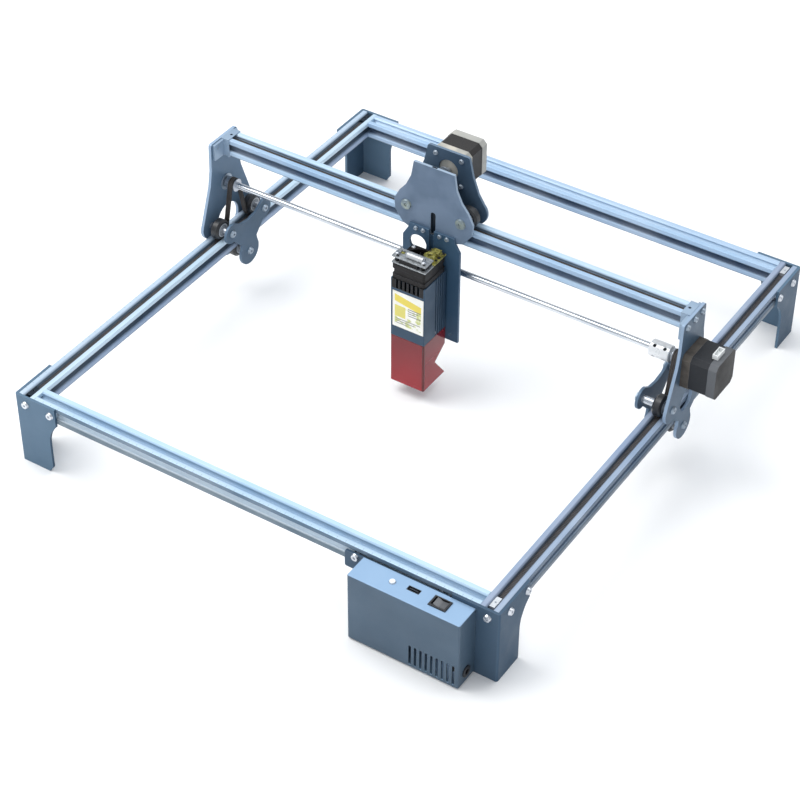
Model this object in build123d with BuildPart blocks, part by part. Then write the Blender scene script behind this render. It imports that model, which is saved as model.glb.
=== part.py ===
from build123d import *
from math import asin, atan2, cos, degrees, hypot, radians, sin
import os

# Desktop laser cutter: a square base of V-slot profiles on four folded legs, a gantry that rolls
# front to back, and a carriage with the laser head that rolls left to right along the gantry's beam.
# Millimetres. The origin is on the table, at the centre of the base frame. +X runs to the right
# along the front rail, +Y to the back, +Z up.

# ---------------------------------------------------------------- driving dimensions
FRAME_WIDTH = 570.0
FRAME_DEPTH = 630.0
RAIL = 20.0
RAIL_TOP = 88.5
SHEET = 3.0

WHEEL_RADIUS = 11.95
WHEEL_WIDTH = 10.2
AXLE_RISE = 10.35
AXLE_RADIUS = 2.45
GAP = 0.3

GANTRY_Y = 44.5
Y_WHEEL_SPREAD = 30.0
ROD_Z = 141.5
OUTER_PLATE_INNER = 285.5
OUTER_PLATE = 3.5
LEFT_INNER_PLATE = -260.0
RIGHT_INNER_PLATE = 252.0

BEAM_Y = 50.5
BEAM_TOP = 200.5
BEAM_HALF_LENGTH = 282.0

CARRIAGE_X = -9.5
X_WHEEL_SPREAD = 33.0
FRONT_PLATE_Y = 34.0
REAR_PLATE_Y = 62.0
X_MOTOR_Z = 250.0

BELT_WIDTH = 6.0
BELT = 1.2
PULLEY_TOOTH = 6.1
PULLEY_FLANGE = 7.4
PULLEY_WIDTH = 13.0

MOTOR_SIDE = 42.3
MOTOR_LENGTH = 38.0
MOTOR_HOLES = 15.5
MOTOR_BOSS = 11.0

HEAD_FRONT = -14.0
HEAD_BACK = 28.0
HEAD_SIDE = 42.0
HEAD_BOTTOM = 77.0
HEAD_TOP = 151.0
FAN = 40.0
FAN_HEIGHT = 18.0
SHIELD_BOTTOM = 15.0
BRACKET_Y = 30.9
KNOB_Z = 95.0

BOX_LEFT = 138.5
BOX_RIGHT = 262.7
BOX_FRONT = -346.6
BOX_BACK = -318.3
BOX_BOTTOM = 2.0
BOX_TOP = 84.0
BOX_WALL = 1.6

# ---------------------------------------------------------------- derived places
RAIL_CENTRE = FRAME_WIDTH / 2 - RAIL / 2
RAIL_MID_Z = RAIL_TOP - RAIL / 2
FRONT_FACE = -FRAME_DEPTH / 2
Y_TOP_AXLE = RAIL_TOP + AXLE_RISE
Y_LOW_AXLE = RAIL_TOP - RAIL - AXLE_RISE
BEAM_MID_Z = BEAM_TOP - RAIL / 2
X_TOP_AXLE = BEAM_TOP + AXLE_RISE
X_LOW_AXLE = BEAM_TOP - RAIL - AXLE_RISE
OUTER_FACE = OUTER_PLATE_INNER + OUTER_PLATE
HEAD_Y = (HEAD_FRONT + HEAD_BACK) / 2
BOX_MID_Y = (BOX_FRONT + BOX_BACK) / 2
SWITCH_X = 232.0
SWITCH_Y = -331.0
BUTTON_X = 179.5
USB_X = 202.0
INLET_Y = -333.0
INLET_Z = 14.5

os.makedirs("parts", exist_ok=True)


def save(part, name):
    """Labels a finished piece and writes it to its own file."""
    part.label = name
    export_step(part, f"parts/{name}.step")


# ---------------------------------------------------------------- shared shapes
V_SLOT = [(10.2, 5.2), (8.2, 3.2), (8.2, 5.4), (6.9, 5.4), (3.9, 2.6)]
V_SLOT_CUT = V_SLOT + [(x, -y) for x, y in reversed(V_SLOT)]
BORE_RADIUS = 2.5


def rail_profile(plane, length):
    """A 20 mm V-slot profile with a slot on each side and a tapped bore down its middle."""
    with BuildPart() as rail:
        with BuildSketch(plane):
            RectangleRounded(RAIL, RAIL, 0.8)
            with PolarLocations(0, 4):
                Polygon(*V_SLOT_CUT, align=None, mode=Mode.SUBTRACT)
            Circle(BORE_RADIUS, mode=Mode.SUBTRACT)
        extrude(amount=length)
    return rail.part


def button_screws(places, z_dir, radius, length, head_radius, head_height):
    """Button-head screws with a hex socket. Each place is the centre under a head, and the
    head stands along z_dir, with its shank the other way."""
    with BuildPart() as screws:
        for place in places:
            plane = Plane(origin=place, z_dir=z_dir)
            with BuildSketch(plane):
                Circle(radius)
            extrude(amount=-length)
            with BuildSketch(plane):
                Circle(head_radius)
            extrude(amount=head_height, taper=22)
            with BuildSketch(plane.offset(head_height * 0.45)):
                RegularPolygon(head_radius * 0.34, 6)
            extrude(amount=head_height, mode=Mode.SUBTRACT)
    return screws.part


def slot_nut(places, z_dir):
    """Square nuts that sit behind the lips of a slot. Each place is on the profile's face."""
    with BuildPart() as nuts:
        for place in places:
            with BuildSketch(Plane(origin=place, z_dir=z_dir).offset(-2.1)):
                RectangleRounded(7.8, 7.8, 0.6)
                Circle(AXLE_RADIUS + 0.05, mode=Mode.SUBTRACT)
            extrude(amount=-2.2)
    return nuts.part


def v_wheel(centre, z_dir):
    """A plastic V-wheel with a bearing pressed into each side and a bore for its axle."""
    rim = 5.9
    flank = (WHEEL_WIDTH - rim) / 2
    shoulder = WHEEL_RADIUS - flank
    with BuildPart(Plane(origin=centre, z_dir=z_dir)) as wheel:
        Cylinder(WHEEL_RADIUS, rim)
        with Locations((0, 0, rim / 2)):
            Cone(WHEEL_RADIUS, shoulder, flank, align=(Align.CENTER, Align.CENTER, Align.MIN))
        with Locations((0, 0, -rim / 2)):
            Cone(shoulder, WHEEL_RADIUS, flank, align=(Align.CENTER, Align.CENTER, Align.MAX))
        Cylinder(8.0, WHEEL_WIDTH, mode=Mode.SUBTRACT)
        with Locations((0, 0, 2.6), (0, 0, -2.6)):
            Cylinder(7.98, 4.8)
            Cylinder(AXLE_RADIUS + 0.05, 4.8, mode=Mode.SUBTRACT)
    return wheel.part


def pulley(centre, z_dir, bore):
    """A toothed belt pulley: twenty teeth between two flanges, on a hub."""
    tooth_band = BELT_WIDTH + 1.4
    flange = 1.0
    hub = PULLEY_WIDTH - tooth_band - 2 * flange
    with BuildPart(Plane(origin=centre, z_dir=z_dir)) as wheel:
        Cylinder(PULLEY_TOOTH, tooth_band)
        with PolarLocations(PULLEY_TOOTH, 20):
            Cylinder(0.5, tooth_band, mode=Mode.SUBTRACT)
        with Locations((0, 0, tooth_band / 2), (0, 0, -tooth_band / 2 - flange)):
            Cylinder(PULLEY_FLANGE, flange, align=(Align.CENTER, Align.CENTER, Align.MIN))
        with Locations((0, 0, tooth_band / 2 + flange)):
            Cylinder(6.6, hub, align=(Align.CENTER, Align.CENTER, Align.MIN))
        Cylinder(bore, 3 * PULLEY_WIDTH, mode=Mode.SUBTRACT)
    return wheel.part


def stepper_motor(face_centre, z_dir):
    """A square stepper motor in three pieces, front cap, stator and rear cap, standing along z_dir
    from its mounting face, with a round boss and a shaft bore on that face."""
    cap = 9.0
    stator = MOTOR_LENGTH - 2 * cap
    with BuildPart(Plane(origin=face_centre, z_dir=z_dir)) as motor:
        for start, height, side in (
            (0, cap, MOTOR_SIDE),
            (cap + 0.05, stator - 0.1, MOTOR_SIDE - 0.8),
            (cap + stator, cap, MOTOR_SIDE),
        ):
            with Locations((0, 0, start)):
                block = Box(side, side, height, align=(Align.CENTER, Align.CENTER, Align.MIN))
            chamfer(block.edges().filter_by(Axis(face_centre, z_dir)), 4.5)
        with Locations((0, 0, 0)):
            Cylinder(MOTOR_BOSS, 2, align=(Align.CENTER, Align.CENTER, Align.MAX))
            Cylinder(2.6, 60, mode=Mode.SUBTRACT)
        with GridLocations(2 * MOTOR_HOLES, 2 * MOTOR_HOLES, 2, 2):
            Cylinder(1.55, 9, mode=Mode.SUBTRACT)
    return motor.part


def belt_loop(plane, spread, wheel_height, pulley_height):
    """The belt as it leaves the slot under one wheel, climbs over the pulley and goes back under
    the other. The plane's origin is below the pulley, with its y axis up."""
    wheel_wrap = WHEEL_RADIUS + GAP + BELT / 2
    pulley_wrap = PULLEY_TOOTH + GAP + BELT / 2
    tail = 5.0
    rise = pulley_height - wheel_height
    lean = degrees(atan2(rise, spread) + asin((wheel_wrap + pulley_wrap) / hypot(spread, rise)))
    low = wheel_height - wheel_wrap
    with BuildPart() as loop:
        with BuildSketch(plane):
            with BuildLine():
                first = CenterArc((-spread, wheel_height), wheel_wrap, -90, lean)
                over = CenterArc((0, pulley_height), pulley_wrap, lean + 90, -2 * lean)
                last = CenterArc((spread, wheel_height), wheel_wrap, 270 - lean, lean)
                Line((-spread - tail, low), first @ 0)
                Line(first @ 1, over @ 0)
                Line(over @ 1, last @ 0)
                Line(last @ 1, (spread + tail, low))
                offset(amount=BELT / 2, side=Side.BOTH)
            make_face()
        extrude(amount=BELT_WIDTH / 2, both=True)
    return loop.part


# ---------------------------------------------------------------- base frame
def side_rail(x):
    return rail_profile(Plane(origin=(x, FRONT_FACE, RAIL_MID_Z), z_dir=(0, 1, 0)), FRAME_DEPTH)


def cross_rail(y):
    length = FRAME_WIDTH - 2 * RAIL
    return rail_profile(Plane(origin=(-length / 2, y, RAIL_MID_Z), z_dir=(1, 0, 0)), length)


save(side_rail(-RAIL_CENTRE), "rail_left")
save(side_rail(RAIL_CENTRE), "rail_right")
save(cross_rail(FRONT_FACE + RAIL / 2), "rail_front")
save(cross_rail(-FRONT_FACE - RAIL / 2), "rail_back")

# The folded legs: the plate across the front or back, and the plate along the side.
CORNER_X = FRAME_WIDTH / 2 + SHEET
CORNER_Y = FRAME_DEPTH / 2 + SHEET
LEG_SCREW_INSET = 42.0
SIDE_SCREW_INSETS = (16.0, 48.0)


def leg_plate(plane, foot_width, shin_width, top_width, band, screw_insets):
    """One plate of a leg, from its corner at u 0 inwards, with holes for its screws."""
    with BuildPart() as plate:
        with BuildSketch(plane):
            with BuildLine():
                Polyline(
                    (-shin_width, 40), (-shin_width, 7), (-foot_width, 0), (0, 0), (0, RAIL_TOP),
                    (-top_width, RAIL_TOP), (-top_width, band),
                )
                bend = (-shin_width - 0.22 * (top_width - shin_width), (40 + band) / 2)
                ThreePointArc((-top_width, band), bend, (-shin_width, 40))
            make_face()
            with Locations(*[(-inset - SHEET, RAIL_MID_Z) for inset in screw_insets]):
                Circle(AXLE_RADIUS + 0.25, mode=Mode.SUBTRACT)
        extrude(amount=SHEET)
    return plate.part


face_plane = Plane(origin=(CORNER_X, CORNER_Y, 0), x_dir=(1, 0, 0), z_dir=(0, -1, 0))
side_plane = Plane(origin=(CORNER_X - SHEET, CORNER_Y, 0), x_dir=(0, 1, 0), z_dir=(1, 0, 0))
with BuildPart() as leg:
    add(leg_plate(face_plane, 36, 41, 51.5, 66, (RAIL / 2, LEG_SCREW_INSET)))
    add(leg_plate(side_plane, 38.5, 38.5, 55, 68, SIDE_SCREW_INSETS))
    fillet(leg.edges().filter_by(Axis.Z).group_by(Axis.X)[-1].sort_by(Axis.Y)[-1], 2.5)

leg_back_right = leg.part
leg_back_left = mirror(leg_back_right, about=Plane.YZ)
leg_front_right = mirror(leg_back_right, about=Plane.XZ)
leg_front_left = mirror(leg_back_left, about=Plane.XZ)
save(leg_back_right, "leg_back_right")
save(leg_back_left, "leg_back_left")
save(leg_front_right, "leg_front_right")
save(leg_front_left, "leg_front_left")

# Frame screws: each leg has one in the side rail's end bore, one in the cross rail's slot and two
# in the side rail's slot. One more holds the control box by its ear, and one is inside the box.
BOX_EAR_X = 129.0
BOX_INNER_SCREW_X = 222.0
M5_HEAD = 4.4
M5_HEAD_HEIGHT = 2.3
SLOT_SCREW = SHEET + 5.0

end_bore_places = {-1: [], 1: []}
cross_slot_places = {-1: [], 1: []}
side_slot_places = {-1: [], 1: []}
for x_side in (-1, 1):
    for y_side in (-1, 1):
        end_bore_places[y_side].append((x_side * RAIL_CENTRE, y_side * CORNER_Y, RAIL_MID_Z))
        cross_slot_places[y_side].append(
            (x_side * (FRAME_WIDTH / 2 - LEG_SCREW_INSET), y_side * CORNER_Y, RAIL_MID_Z)
        )
        for inset in SIDE_SCREW_INSETS:
            side_slot_places[x_side].append(
                (x_side * CORNER_X, y_side * (FRAME_DEPTH / 2 - inset), RAIL_MID_Z)
            )
cross_slot_places[-1].append((BOX_EAR_X, -CORNER_Y, RAIL_MID_Z))
boxed_leg_screw = (FRAME_WIDTH / 2 - LEG_SCREW_INSET, -CORNER_Y, RAIL_MID_Z)
cross_slot_places[-1].remove(boxed_leg_screw)
boxed_places = [boxed_leg_screw, (BOX_INNER_SCREW_X, -CORNER_Y, RAIL_MID_Z)]

with BuildPart() as frame_screws:
    add(button_screws(boxed_places, (0, -1, 0), AXLE_RADIUS, SLOT_SCREW, 3.7, M5_HEAD_HEIGHT))
    for y_side in (-1, 1):
        add(button_screws(end_bore_places[y_side], (0, y_side, 0), AXLE_RADIUS, 14, M5_HEAD,
                          M5_HEAD_HEIGHT))
        add(button_screws(cross_slot_places[y_side], (0, y_side, 0), AXLE_RADIUS, SLOT_SCREW,
                          M5_HEAD, M5_HEAD_HEIGHT))
    for x_side in (-1, 1):
        add(button_screws(side_slot_places[x_side], (x_side, 0, 0), AXLE_RADIUS, SLOT_SCREW,
                          M5_HEAD, M5_HEAD_HEIGHT))
save(frame_screws.part, "frame_screws")

with BuildPart() as slot_nuts:
    for y_side in (-1, 1):
        places = cross_slot_places[y_side] + (boxed_places if y_side < 0 else [])
        on_rail = [(x, y_side * FRAME_DEPTH / 2, z) for x, y, z in places]
        add(slot_nut(on_rail, (0, y_side, 0)))
    for x_side in (-1, 1):
        on_rail = [(x_side * FRAME_WIDTH / 2, y, z) for x, y, z in side_slot_places[x_side]]
        add(slot_nut(on_rail, (x_side, 0, 0)))
save(slot_nuts.part, "slot_nuts")

# The toothed belts of the gantry lie along the bottom of the side rails' top slots.
BELT_FLOOR = RAIL_TOP - 5.6
Y_BELT_HALF = 310.0
with BuildPart() as y_belts:
    with Locations((-RAIL_CENTRE, 0, BELT_FLOOR), (RAIL_CENTRE, 0, BELT_FLOOR)):
        Box(BELT_WIDTH, 2 * Y_BELT_HALF, BELT, align=(Align.CENTER, Align.CENTER, Align.MIN))
save(y_belts.part, "y_belts")

# Each end of each belt is pinched in the slot by a clamp plate with a grub screw.
CLAMP_Y = 304.0
with BuildPart() as belt_clamps:
    for x in (-RAIL_CENTRE, RAIL_CENTRE):
        for y in (-CLAMP_Y, CLAMP_Y):
            with Locations((x, y, BELT_FLOOR + BELT)):
                Box(5.6, 14, 3.4, align=(Align.CENTER, Align.CENTER, Align.MIN))
            with Locations((x, y, BELT_FLOOR + BELT + 3.4)):
                Cylinder(1.1, 1.6, align=(Align.CENTER, Align.CENTER, Align.MAX),
                         mode=Mode.SUBTRACT)
save(belt_clamps.part, "belt_clamps")

# ---------------------------------------------------------------- control box
BOX_WIDTH = BOX_RIGHT - BOX_LEFT
BOX_DEPTH = BOX_BACK - BOX_FRONT
BOX_MID_X = (BOX_LEFT + BOX_RIGHT) / 2
SWITCH_HALF = (7.6, 5.6)
VENTS = 9
VENT_PITCH = 6.0
VENT_SIZE = (25.0, 2.9)

with BuildPart() as box_cover:
    with Locations((BOX_MID_X, BOX_MID_Y, BOX_BOTTOM)):
        Box(BOX_WIDTH, BOX_DEPTH, BOX_TOP - BOX_BOTTOM, align=(Align.CENTER, Align.CENTER, Align.MIN))
    fillet(box_cover.edges().filter_by(Axis.Z).group_by(Axis.Y)[0], 2.0)
    fillet(box_cover.faces().sort_by(Axis.Z)[-1].edges().sort_by(Axis.Y)[:-1], 1.2)
    with Locations((BOX_MID_X, BOX_BACK, BOX_BOTTOM + BOX_WALL)):
        Box(
            BOX_WIDTH - 2 * BOX_WALL,
            2 * (BOX_DEPTH - BOX_WALL),
            BOX_TOP - BOX_BOTTOM - 2 * BOX_WALL,
            align=(Align.CENTER, Align.CENTER, Align.MIN),
            mode=Mode.SUBTRACT,
        )
    with Locations((SWITCH_X, SWITCH_Y, BOX_TOP)):
        Box(2 * SWITCH_HALF[0] + 1.2, 2 * SWITCH_HALF[1] + 1.2, 8, mode=Mode.SUBTRACT)
    with Locations((BUTTON_X, SWITCH_Y, BOX_TOP)):
        Cylinder(3.4, 8, mode=Mode.SUBTRACT)
    with Locations((USB_X, SWITCH_Y + 2, BOX_TOP)):
        Box(13.6, 6.0, 8, mode=Mode.SUBTRACT)
    with Locations(Location((BOX_RIGHT, INLET_Y, INLET_Z), (0, 90, 0))):
        Cylinder(5.3, 8, mode=Mode.SUBTRACT)
    with BuildSketch(Plane.XZ.offset(-BOX_FRONT)):
        with Locations((233, 17.0)):
            with GridLocations(VENT_PITCH, 0, VENTS, 1):
                SlotOverall(*VENT_SIZE, rotation=90)
    extrude(amount=-3, mode=Mode.SUBTRACT)
save(box_cover.part, "box_cover")

# The back plate reaches past the cover's left side as a screwed ear, and stops short of the leg.
BASE_BACK = FRONT_FACE - 0.1
BASE_FRONT = FRONT_FACE - SHEET
BASE_LEFT = 117.0
BASE_RIGHT = 233.5
with BuildPart() as box_base:
    with BuildSketch(Plane.XZ.offset(-BASE_BACK)):
        with Locations(((BASE_LEFT + BASE_RIGHT) / 2, 72)):
            RectangleRounded(BASE_RIGHT - BASE_LEFT, 20, 2)
        with Locations(((BOX_LEFT + BASE_RIGHT) / 2 + 1, 43)):
            Rectangle(BASE_RIGHT - BOX_LEFT - 2, 74)
        with Locations((BOX_EAR_X, RAIL_MID_Z), (BOX_INNER_SCREW_X, RAIL_MID_Z)):
            Circle(AXLE_RADIUS + 0.25, mode=Mode.SUBTRACT)
    extrude(amount=BASE_BACK - BASE_FRONT)
save(box_base.part, "box_base")

# The board stands on four posts on the back plate and carries its drivers and sockets.
BOARD_X = 186.0
BOARD_Z = 40.0
BOARD_Y = -325.5
with BuildPart() as control_board:
    with Locations((BOARD_X, BOARD_Y, BOARD_Z)):
        Box(80, 1.6, 56)
    with Locations((BOARD_X, (BOARD_Y + 0.8 + BASE_FRONT) / 2, BOARD_Z)):
        with Locations((-35, 0, -23), (35, 0, -23), (-35, 0, 23), (35, 0, 23)):
            Cylinder(2.5, BASE_FRONT - BOARD_Y - 0.8, rotation=(90, 0, 0))
    with Locations((BOARD_X, BOARD_Y - 0.8, BOARD_Z)):
        for column in (-24, 0, 24):
            with Locations((column, 0, 12)):
                Box(15, 11, 20, align=(Align.CENTER, Align.MAX, Align.CENTER))
        with Locations((-22, 0, -12)):
            Box(14, 2, 14, align=(Align.CENTER, Align.MAX, Align.CENTER))
        with Locations((2, 0, -20)):
            Box(22, 7, 6, align=(Align.CENTER, Align.MAX, Align.CENTER))
        with Locations((26, 0, -14)):
            Cylinder(5, 9, rotation=(90, 0, 0), align=(Align.CENTER, Align.CENTER, Align.MIN))
save(control_board.part, "control_board")

# A small metal socket for the data lead, open at the top of the box.
with BuildPart() as usb_port:
    with Locations((USB_X, SWITCH_Y + 2, BOX_TOP + 0.2)):
        Box(13.0, 5.4, 9, align=(Align.CENTER, Align.CENTER, Align.MAX))
    fillet(usb_port.edges().filter_by(Axis.Z), 0.8)
    with Locations((USB_X, SWITCH_Y + 2, BOX_TOP + 0.2)):
        Box(12.0, 4.4, 7.5, align=(Align.CENTER, Align.CENTER, Align.MAX), mode=Mode.SUBTRACT)
        Box(9.6, 1.2, 8, align=(Align.CENTER, Align.CENTER, Align.MAX))
save(usb_port.part, "usb_port")

# The round power socket on the box's right side, with its centre pin.
with BuildPart(Plane(origin=(BOX_RIGHT, INLET_Y, INLET_Z), z_dir=(1, 0, 0))) as power_inlet:
    Cylinder(5.2, 12, align=(Align.CENTER, Align.CENTER, Align.MAX))
    Cylinder(6.2, 1.4, align=(Align.CENTER, Align.CENTER, Align.MIN))
    Cylinder(3.15, 11, align=(Align.CENTER, Align.CENTER, Align.CENTER), mode=Mode.SUBTRACT)
    with Locations((0, 0, -11)):
        Cylinder(3.15, 6, align=(Align.CENTER, Align.CENTER, Align.MIN), mode=Mode.SUBTRACT)
        Cylinder(1.0, 10, align=(Align.CENTER, Align.CENTER, Align.MIN))
save(power_inlet.part, "power_inlet")

# The rocker switch: a bezel and body in the cover, and a rocker that tilts about a pin line.
ROCKER_PIVOT_Z = BOX_TOP - 3.5
with BuildPart() as switch_housing:
    with Locations((SWITCH_X, SWITCH_Y, BOX_TOP + 0.05)):
        Box(19.0, 14.2, 1.5, align=(Align.CENTER, Align.CENTER, Align.MIN))
    chamfer(switch_housing.faces().sort_by(Axis.Z)[-1].edges(), 0.6)
    with Locations((SWITCH_X, SWITCH_Y, BOX_TOP + 0.05)):
        Box(2 * SWITCH_HALF[0] + 1.0, 2 * SWITCH_HALF[1] + 1.0, 13,
            align=(Align.CENTER, Align.CENTER, Align.MAX))
    with Locations((SWITCH_X, SWITCH_Y, BOX_TOP - 11)):
        Box(2 * SWITCH_HALF[0] - 0.4, 2 * SWITCH_HALF[1] - 0.4, 20,
            align=(Align.CENTER, Align.CENTER, Align.MIN), mode=Mode.SUBTRACT)
save(switch_housing.part, "switch_housing")

ROCKER_REST = -9.0
rocker_plane = Plane(origin=(SWITCH_X, SWITCH_Y, ROCKER_PIVOT_Z), x_dir=(1, 0, 0), z_dir=(0, -1, 0))
with BuildPart() as switch_rocker:
    with BuildSketch(rocker_plane):
        Polygon((-5.8, -2.2), (0, -3.2), (5.8, -2.2), (6.1, 4.9), (0, 3.4), (-6.1, 4.9),
                rotation=ROCKER_REST, align=None)
    extrude(amount=4.8, both=True)
    fillet(switch_rocker.edges().filter_by(Axis.Y).group_by(Axis.Z)[-1], 0.4)
save(switch_rocker.part, "switch_rocker")

# A round push button, held under the cover by its flange.
with BuildPart() as reset_button:
    with Locations((BUTTON_X, SWITCH_Y, BOX_TOP - BOX_WALL - GAP)):
        Cylinder(4.2, 1.6, align=(Align.CENTER, Align.CENTER, Align.MAX))
        Cylinder(3.0, BOX_WALL + GAP + 1.8, align=(Align.CENTER, Align.CENTER, Align.MIN))
    fillet(reset_button.edges().group_by(Axis.Z)[-1], 0.8)
save(reset_button.part, "reset_button")


# ---------------------------------------------------------------- gantry side plates
def plate_sketch(spread, axle_low, axle_top, ear, lobe, upper):
    """A side plate about u 0: two ears round the upper axles, a lobe round the lower one, and an
    upper outline given by its right-hand points."""
    waist = [(spread - 0.2 * ear, axle_top - ear), (0.8 * lobe, axle_low + 0.6 * lobe + 4)]
    right = upper + waist + [(lobe, axle_low)]
    Polygon(*right, *[(-u, v) for u, v in reversed(right)], align=None)
    with Locations((spread, axle_top), (-spread, axle_top)):
        Circle(ear)
    with Locations((0, axle_low)):
        Circle(lobe)


def axle_holes(spread, axle_low, axle_top):
    with Locations((spread, axle_top), (-spread, axle_top), (0, axle_low)):
        Circle(AXLE_RADIUS + 0.05, mode=Mode.SUBTRACT)


PLATE_TOP = BEAM_TOP + 0.6
OUTER_EAR = 15.5
OUTER_LOBE = 15.5
INNER_EAR = 11.8
INNER_LOBE = 16.5
LEFT_WINDOW = 19.0
RIGHT_WINDOW = 13.0
WINDOW_Z = 92.5
BEARING_RADIUS = 9.5
BRACKET_SCREW_YS = (29.0, 45.0, 61.0)
BRACKET_SCREW_Z = 194.5


def outer_plate(x, rod_hole, motor_holes, window):
    with BuildPart() as plate:
        with BuildSketch(Plane(origin=(x, GANTRY_Y, 0), x_dir=(0, 1, 0), z_dir=(1, 0, 0))):
            plate_sketch(
                Y_WHEEL_SPREAD, Y_LOW_AXLE, Y_TOP_AXLE, OUTER_EAR, OUTER_LOBE,
                [(0, PLATE_TOP), (23.5, PLATE_TOP), (24.5, 168), (28, 149), (44.6, 103.6)],
            )
            with Locations((0, WINDOW_Z)):
                Circle(window, mode=Mode.SUBTRACT)
            with Locations((0, ROD_Z)):
                Circle(rod_hole, mode=Mode.SUBTRACT)
                if motor_holes:
                    with GridLocations(2 * MOTOR_HOLES, 2 * MOTOR_HOLES, 2, 2):
                        Circle(1.6, mode=Mode.SUBTRACT)
            axle_holes(Y_WHEEL_SPREAD, Y_LOW_AXLE, Y_TOP_AXLE)
            with Locations(*[(y - GANTRY_Y, BRACKET_SCREW_Z) for y in BRACKET_SCREW_YS]):
                Circle(2.1, mode=Mode.SUBTRACT)
        extrude(amount=OUTER_PLATE)
        fillet(plate.edges().filter_by(Axis.X).group_by(Axis.Z)[-1], 3.0)
    return plate.part


def inner_plate(x):
    with BuildPart() as plate:
        with BuildSketch(Plane(origin=(x, GANTRY_Y, 0), x_dir=(0, 1, 0), z_dir=(1, 0, 0))):
            plate_sketch(
                Y_WHEEL_SPREAD, Y_LOW_AXLE, Y_TOP_AXLE, INNER_EAR, INNER_LOBE,
                [(0, 100.5), (14, 102.5), (24, 108.5), (30, 110.15), (41.8, 98)],
            )
            axle_holes(Y_WHEEL_SPREAD, Y_LOW_AXLE, Y_TOP_AXLE)
        extrude(amount=SHEET)
    return plate.part


save(outer_plate(-OUTER_FACE, BEARING_RADIUS + 0.02, False, LEFT_WINDOW), "y_plate_outer_left")
save(outer_plate(OUTER_PLATE_INNER, MOTOR_BOSS + 0.1, True, RIGHT_WINDOW), "y_plate_outer_right")
save(inner_plate(LEFT_INNER_PLATE), "y_plate_inner_left")
save(inner_plate(RIGHT_INNER_PLATE), "y_plate_inner_right")

# ---------------------------------------------------------------- beam and its end brackets
beam_plane = Plane(origin=(-BEAM_HALF_LENGTH, BEAM_Y, BEAM_MID_Z), z_dir=(1, 0, 0))
save(rail_profile(beam_plane, 2 * BEAM_HALF_LENGTH), "gantry_beam")

SLEEVE_START = 275.5
SLEEVE_WALL = 0.9
M4_RADIUS = 1.95
with BuildPart() as bracket:
    sleeve = RAIL + 0.1 + 2 * SLEEVE_WALL
    with Locations((SLEEVE_START, BEAM_Y, BEAM_MID_Z)):
        Box(OUTER_PLATE_INNER - SLEEVE_START, sleeve, sleeve,
            align=(Align.MIN, Align.CENTER, Align.CENTER))
        Box(BEAM_HALF_LENGTH + 0.1 - SLEEVE_START, RAIL + 0.1, RAIL + 0.1,
            align=(Align.MIN, Align.CENTER, Align.CENTER), mode=Mode.SUBTRACT)
    with Locations((OUTER_PLATE_INNER, GANTRY_Y, BEAM_MID_Z)):
        Box(3.2, 42, 19, align=(Align.MAX, Align.CENTER, Align.CENTER))
    for y in BRACKET_SCREW_YS:
        with Locations(Location((OUTER_PLATE_INNER, y, BRACKET_SCREW_Z), (0, 90, 0))):
            Cylinder(M4_RADIUS + 0.05, 7, mode=Mode.SUBTRACT)
    with Locations((SLEEVE_START + 4.0, BEAM_Y, BEAM_TOP)):
        Cylinder(1.6, 5, mode=Mode.SUBTRACT)
with BuildPart() as beam_brackets:
    add(bracket.part)
    mirror(about=Plane.YZ)
save(beam_brackets.part, "beam_brackets")

# ---------------------------------------------------------------- gantry bolts and spacers
AXLE_PLACES = (
    (GANTRY_Y - Y_WHEEL_SPREAD, Y_TOP_AXLE),
    (GANTRY_Y + Y_WHEEL_SPREAD, Y_TOP_AXLE),
    (GANTRY_Y, Y_LOW_AXLE),
)
NUT_HEIGHT = 4.0
with BuildPart() as gantry_bolts:
    for near, far in ((-OUTER_FACE, LEFT_INNER_PLATE + SHEET), (RIGHT_INNER_PLATE, OUTER_FACE)):
        places = [(far, y, z) for y, z in AXLE_PLACES]
        add(button_screws(places, (1, 0, 0), AXLE_RADIUS, far - near + NUT_HEIGHT + 0.6,
                          M5_HEAD, M5_HEAD_HEIGHT))
        for y, z in AXLE_PLACES:
            with BuildSketch(Plane(origin=(near, y, z), z_dir=(-1, 0, 0))):
                RegularPolygon(4.6, 6)
            extrude(amount=NUT_HEIGHT)
    for x_side in (-1, 1):
        places = [(x_side * OUTER_FACE, y, BRACKET_SCREW_Z) for y in BRACKET_SCREW_YS]
        add(button_screws(places, (x_side, 0, 0), M4_RADIUS, OUTER_PLATE + 3.0, 3.7, 2.2))
save(gantry_bolts.part, "gantry_bolts")

SPACER_RADIUS = 4.2
HALF_WHEEL = WHEEL_WIDTH / 2 + GAP
with BuildPart() as y_spacers:
    for start, end in (
        (-OUTER_PLATE_INNER, -RAIL_CENTRE - HALF_WHEEL),
        (-RAIL_CENTRE + HALF_WHEEL, LEFT_INNER_PLATE),
        (RIGHT_INNER_PLATE + SHEET, RAIL_CENTRE - HALF_WHEEL),
        (RAIL_CENTRE + HALF_WHEEL, OUTER_PLATE_INNER),
    ):
        for y, z in AXLE_PLACES:
            with BuildSketch(Plane(origin=(start, y, z), z_dir=(1, 0, 0))):
                Circle(SPACER_RADIUS)
                Circle(AXLE_RADIUS + 0.05, mode=Mode.SUBTRACT)
            extrude(amount=end - start)
save(y_spacers.part, "y_spacers")

# ---------------------------------------------------------------- gantry wheels
for side, x in (("left", -RAIL_CENTRE), ("right", RAIL_CENTRE)):
    for place, (y, z) in zip(("front", "back", "low"), AXLE_PLACES):
        save(v_wheel((x, y, z), (1, 0, 0)), f"y_wheel_{side}_{place}")

# ---------------------------------------------------------------- gantry drive
save(stepper_motor((OUTER_FACE, GANTRY_Y, ROD_Z), (1, 0, 0)), "y_motor")

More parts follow.
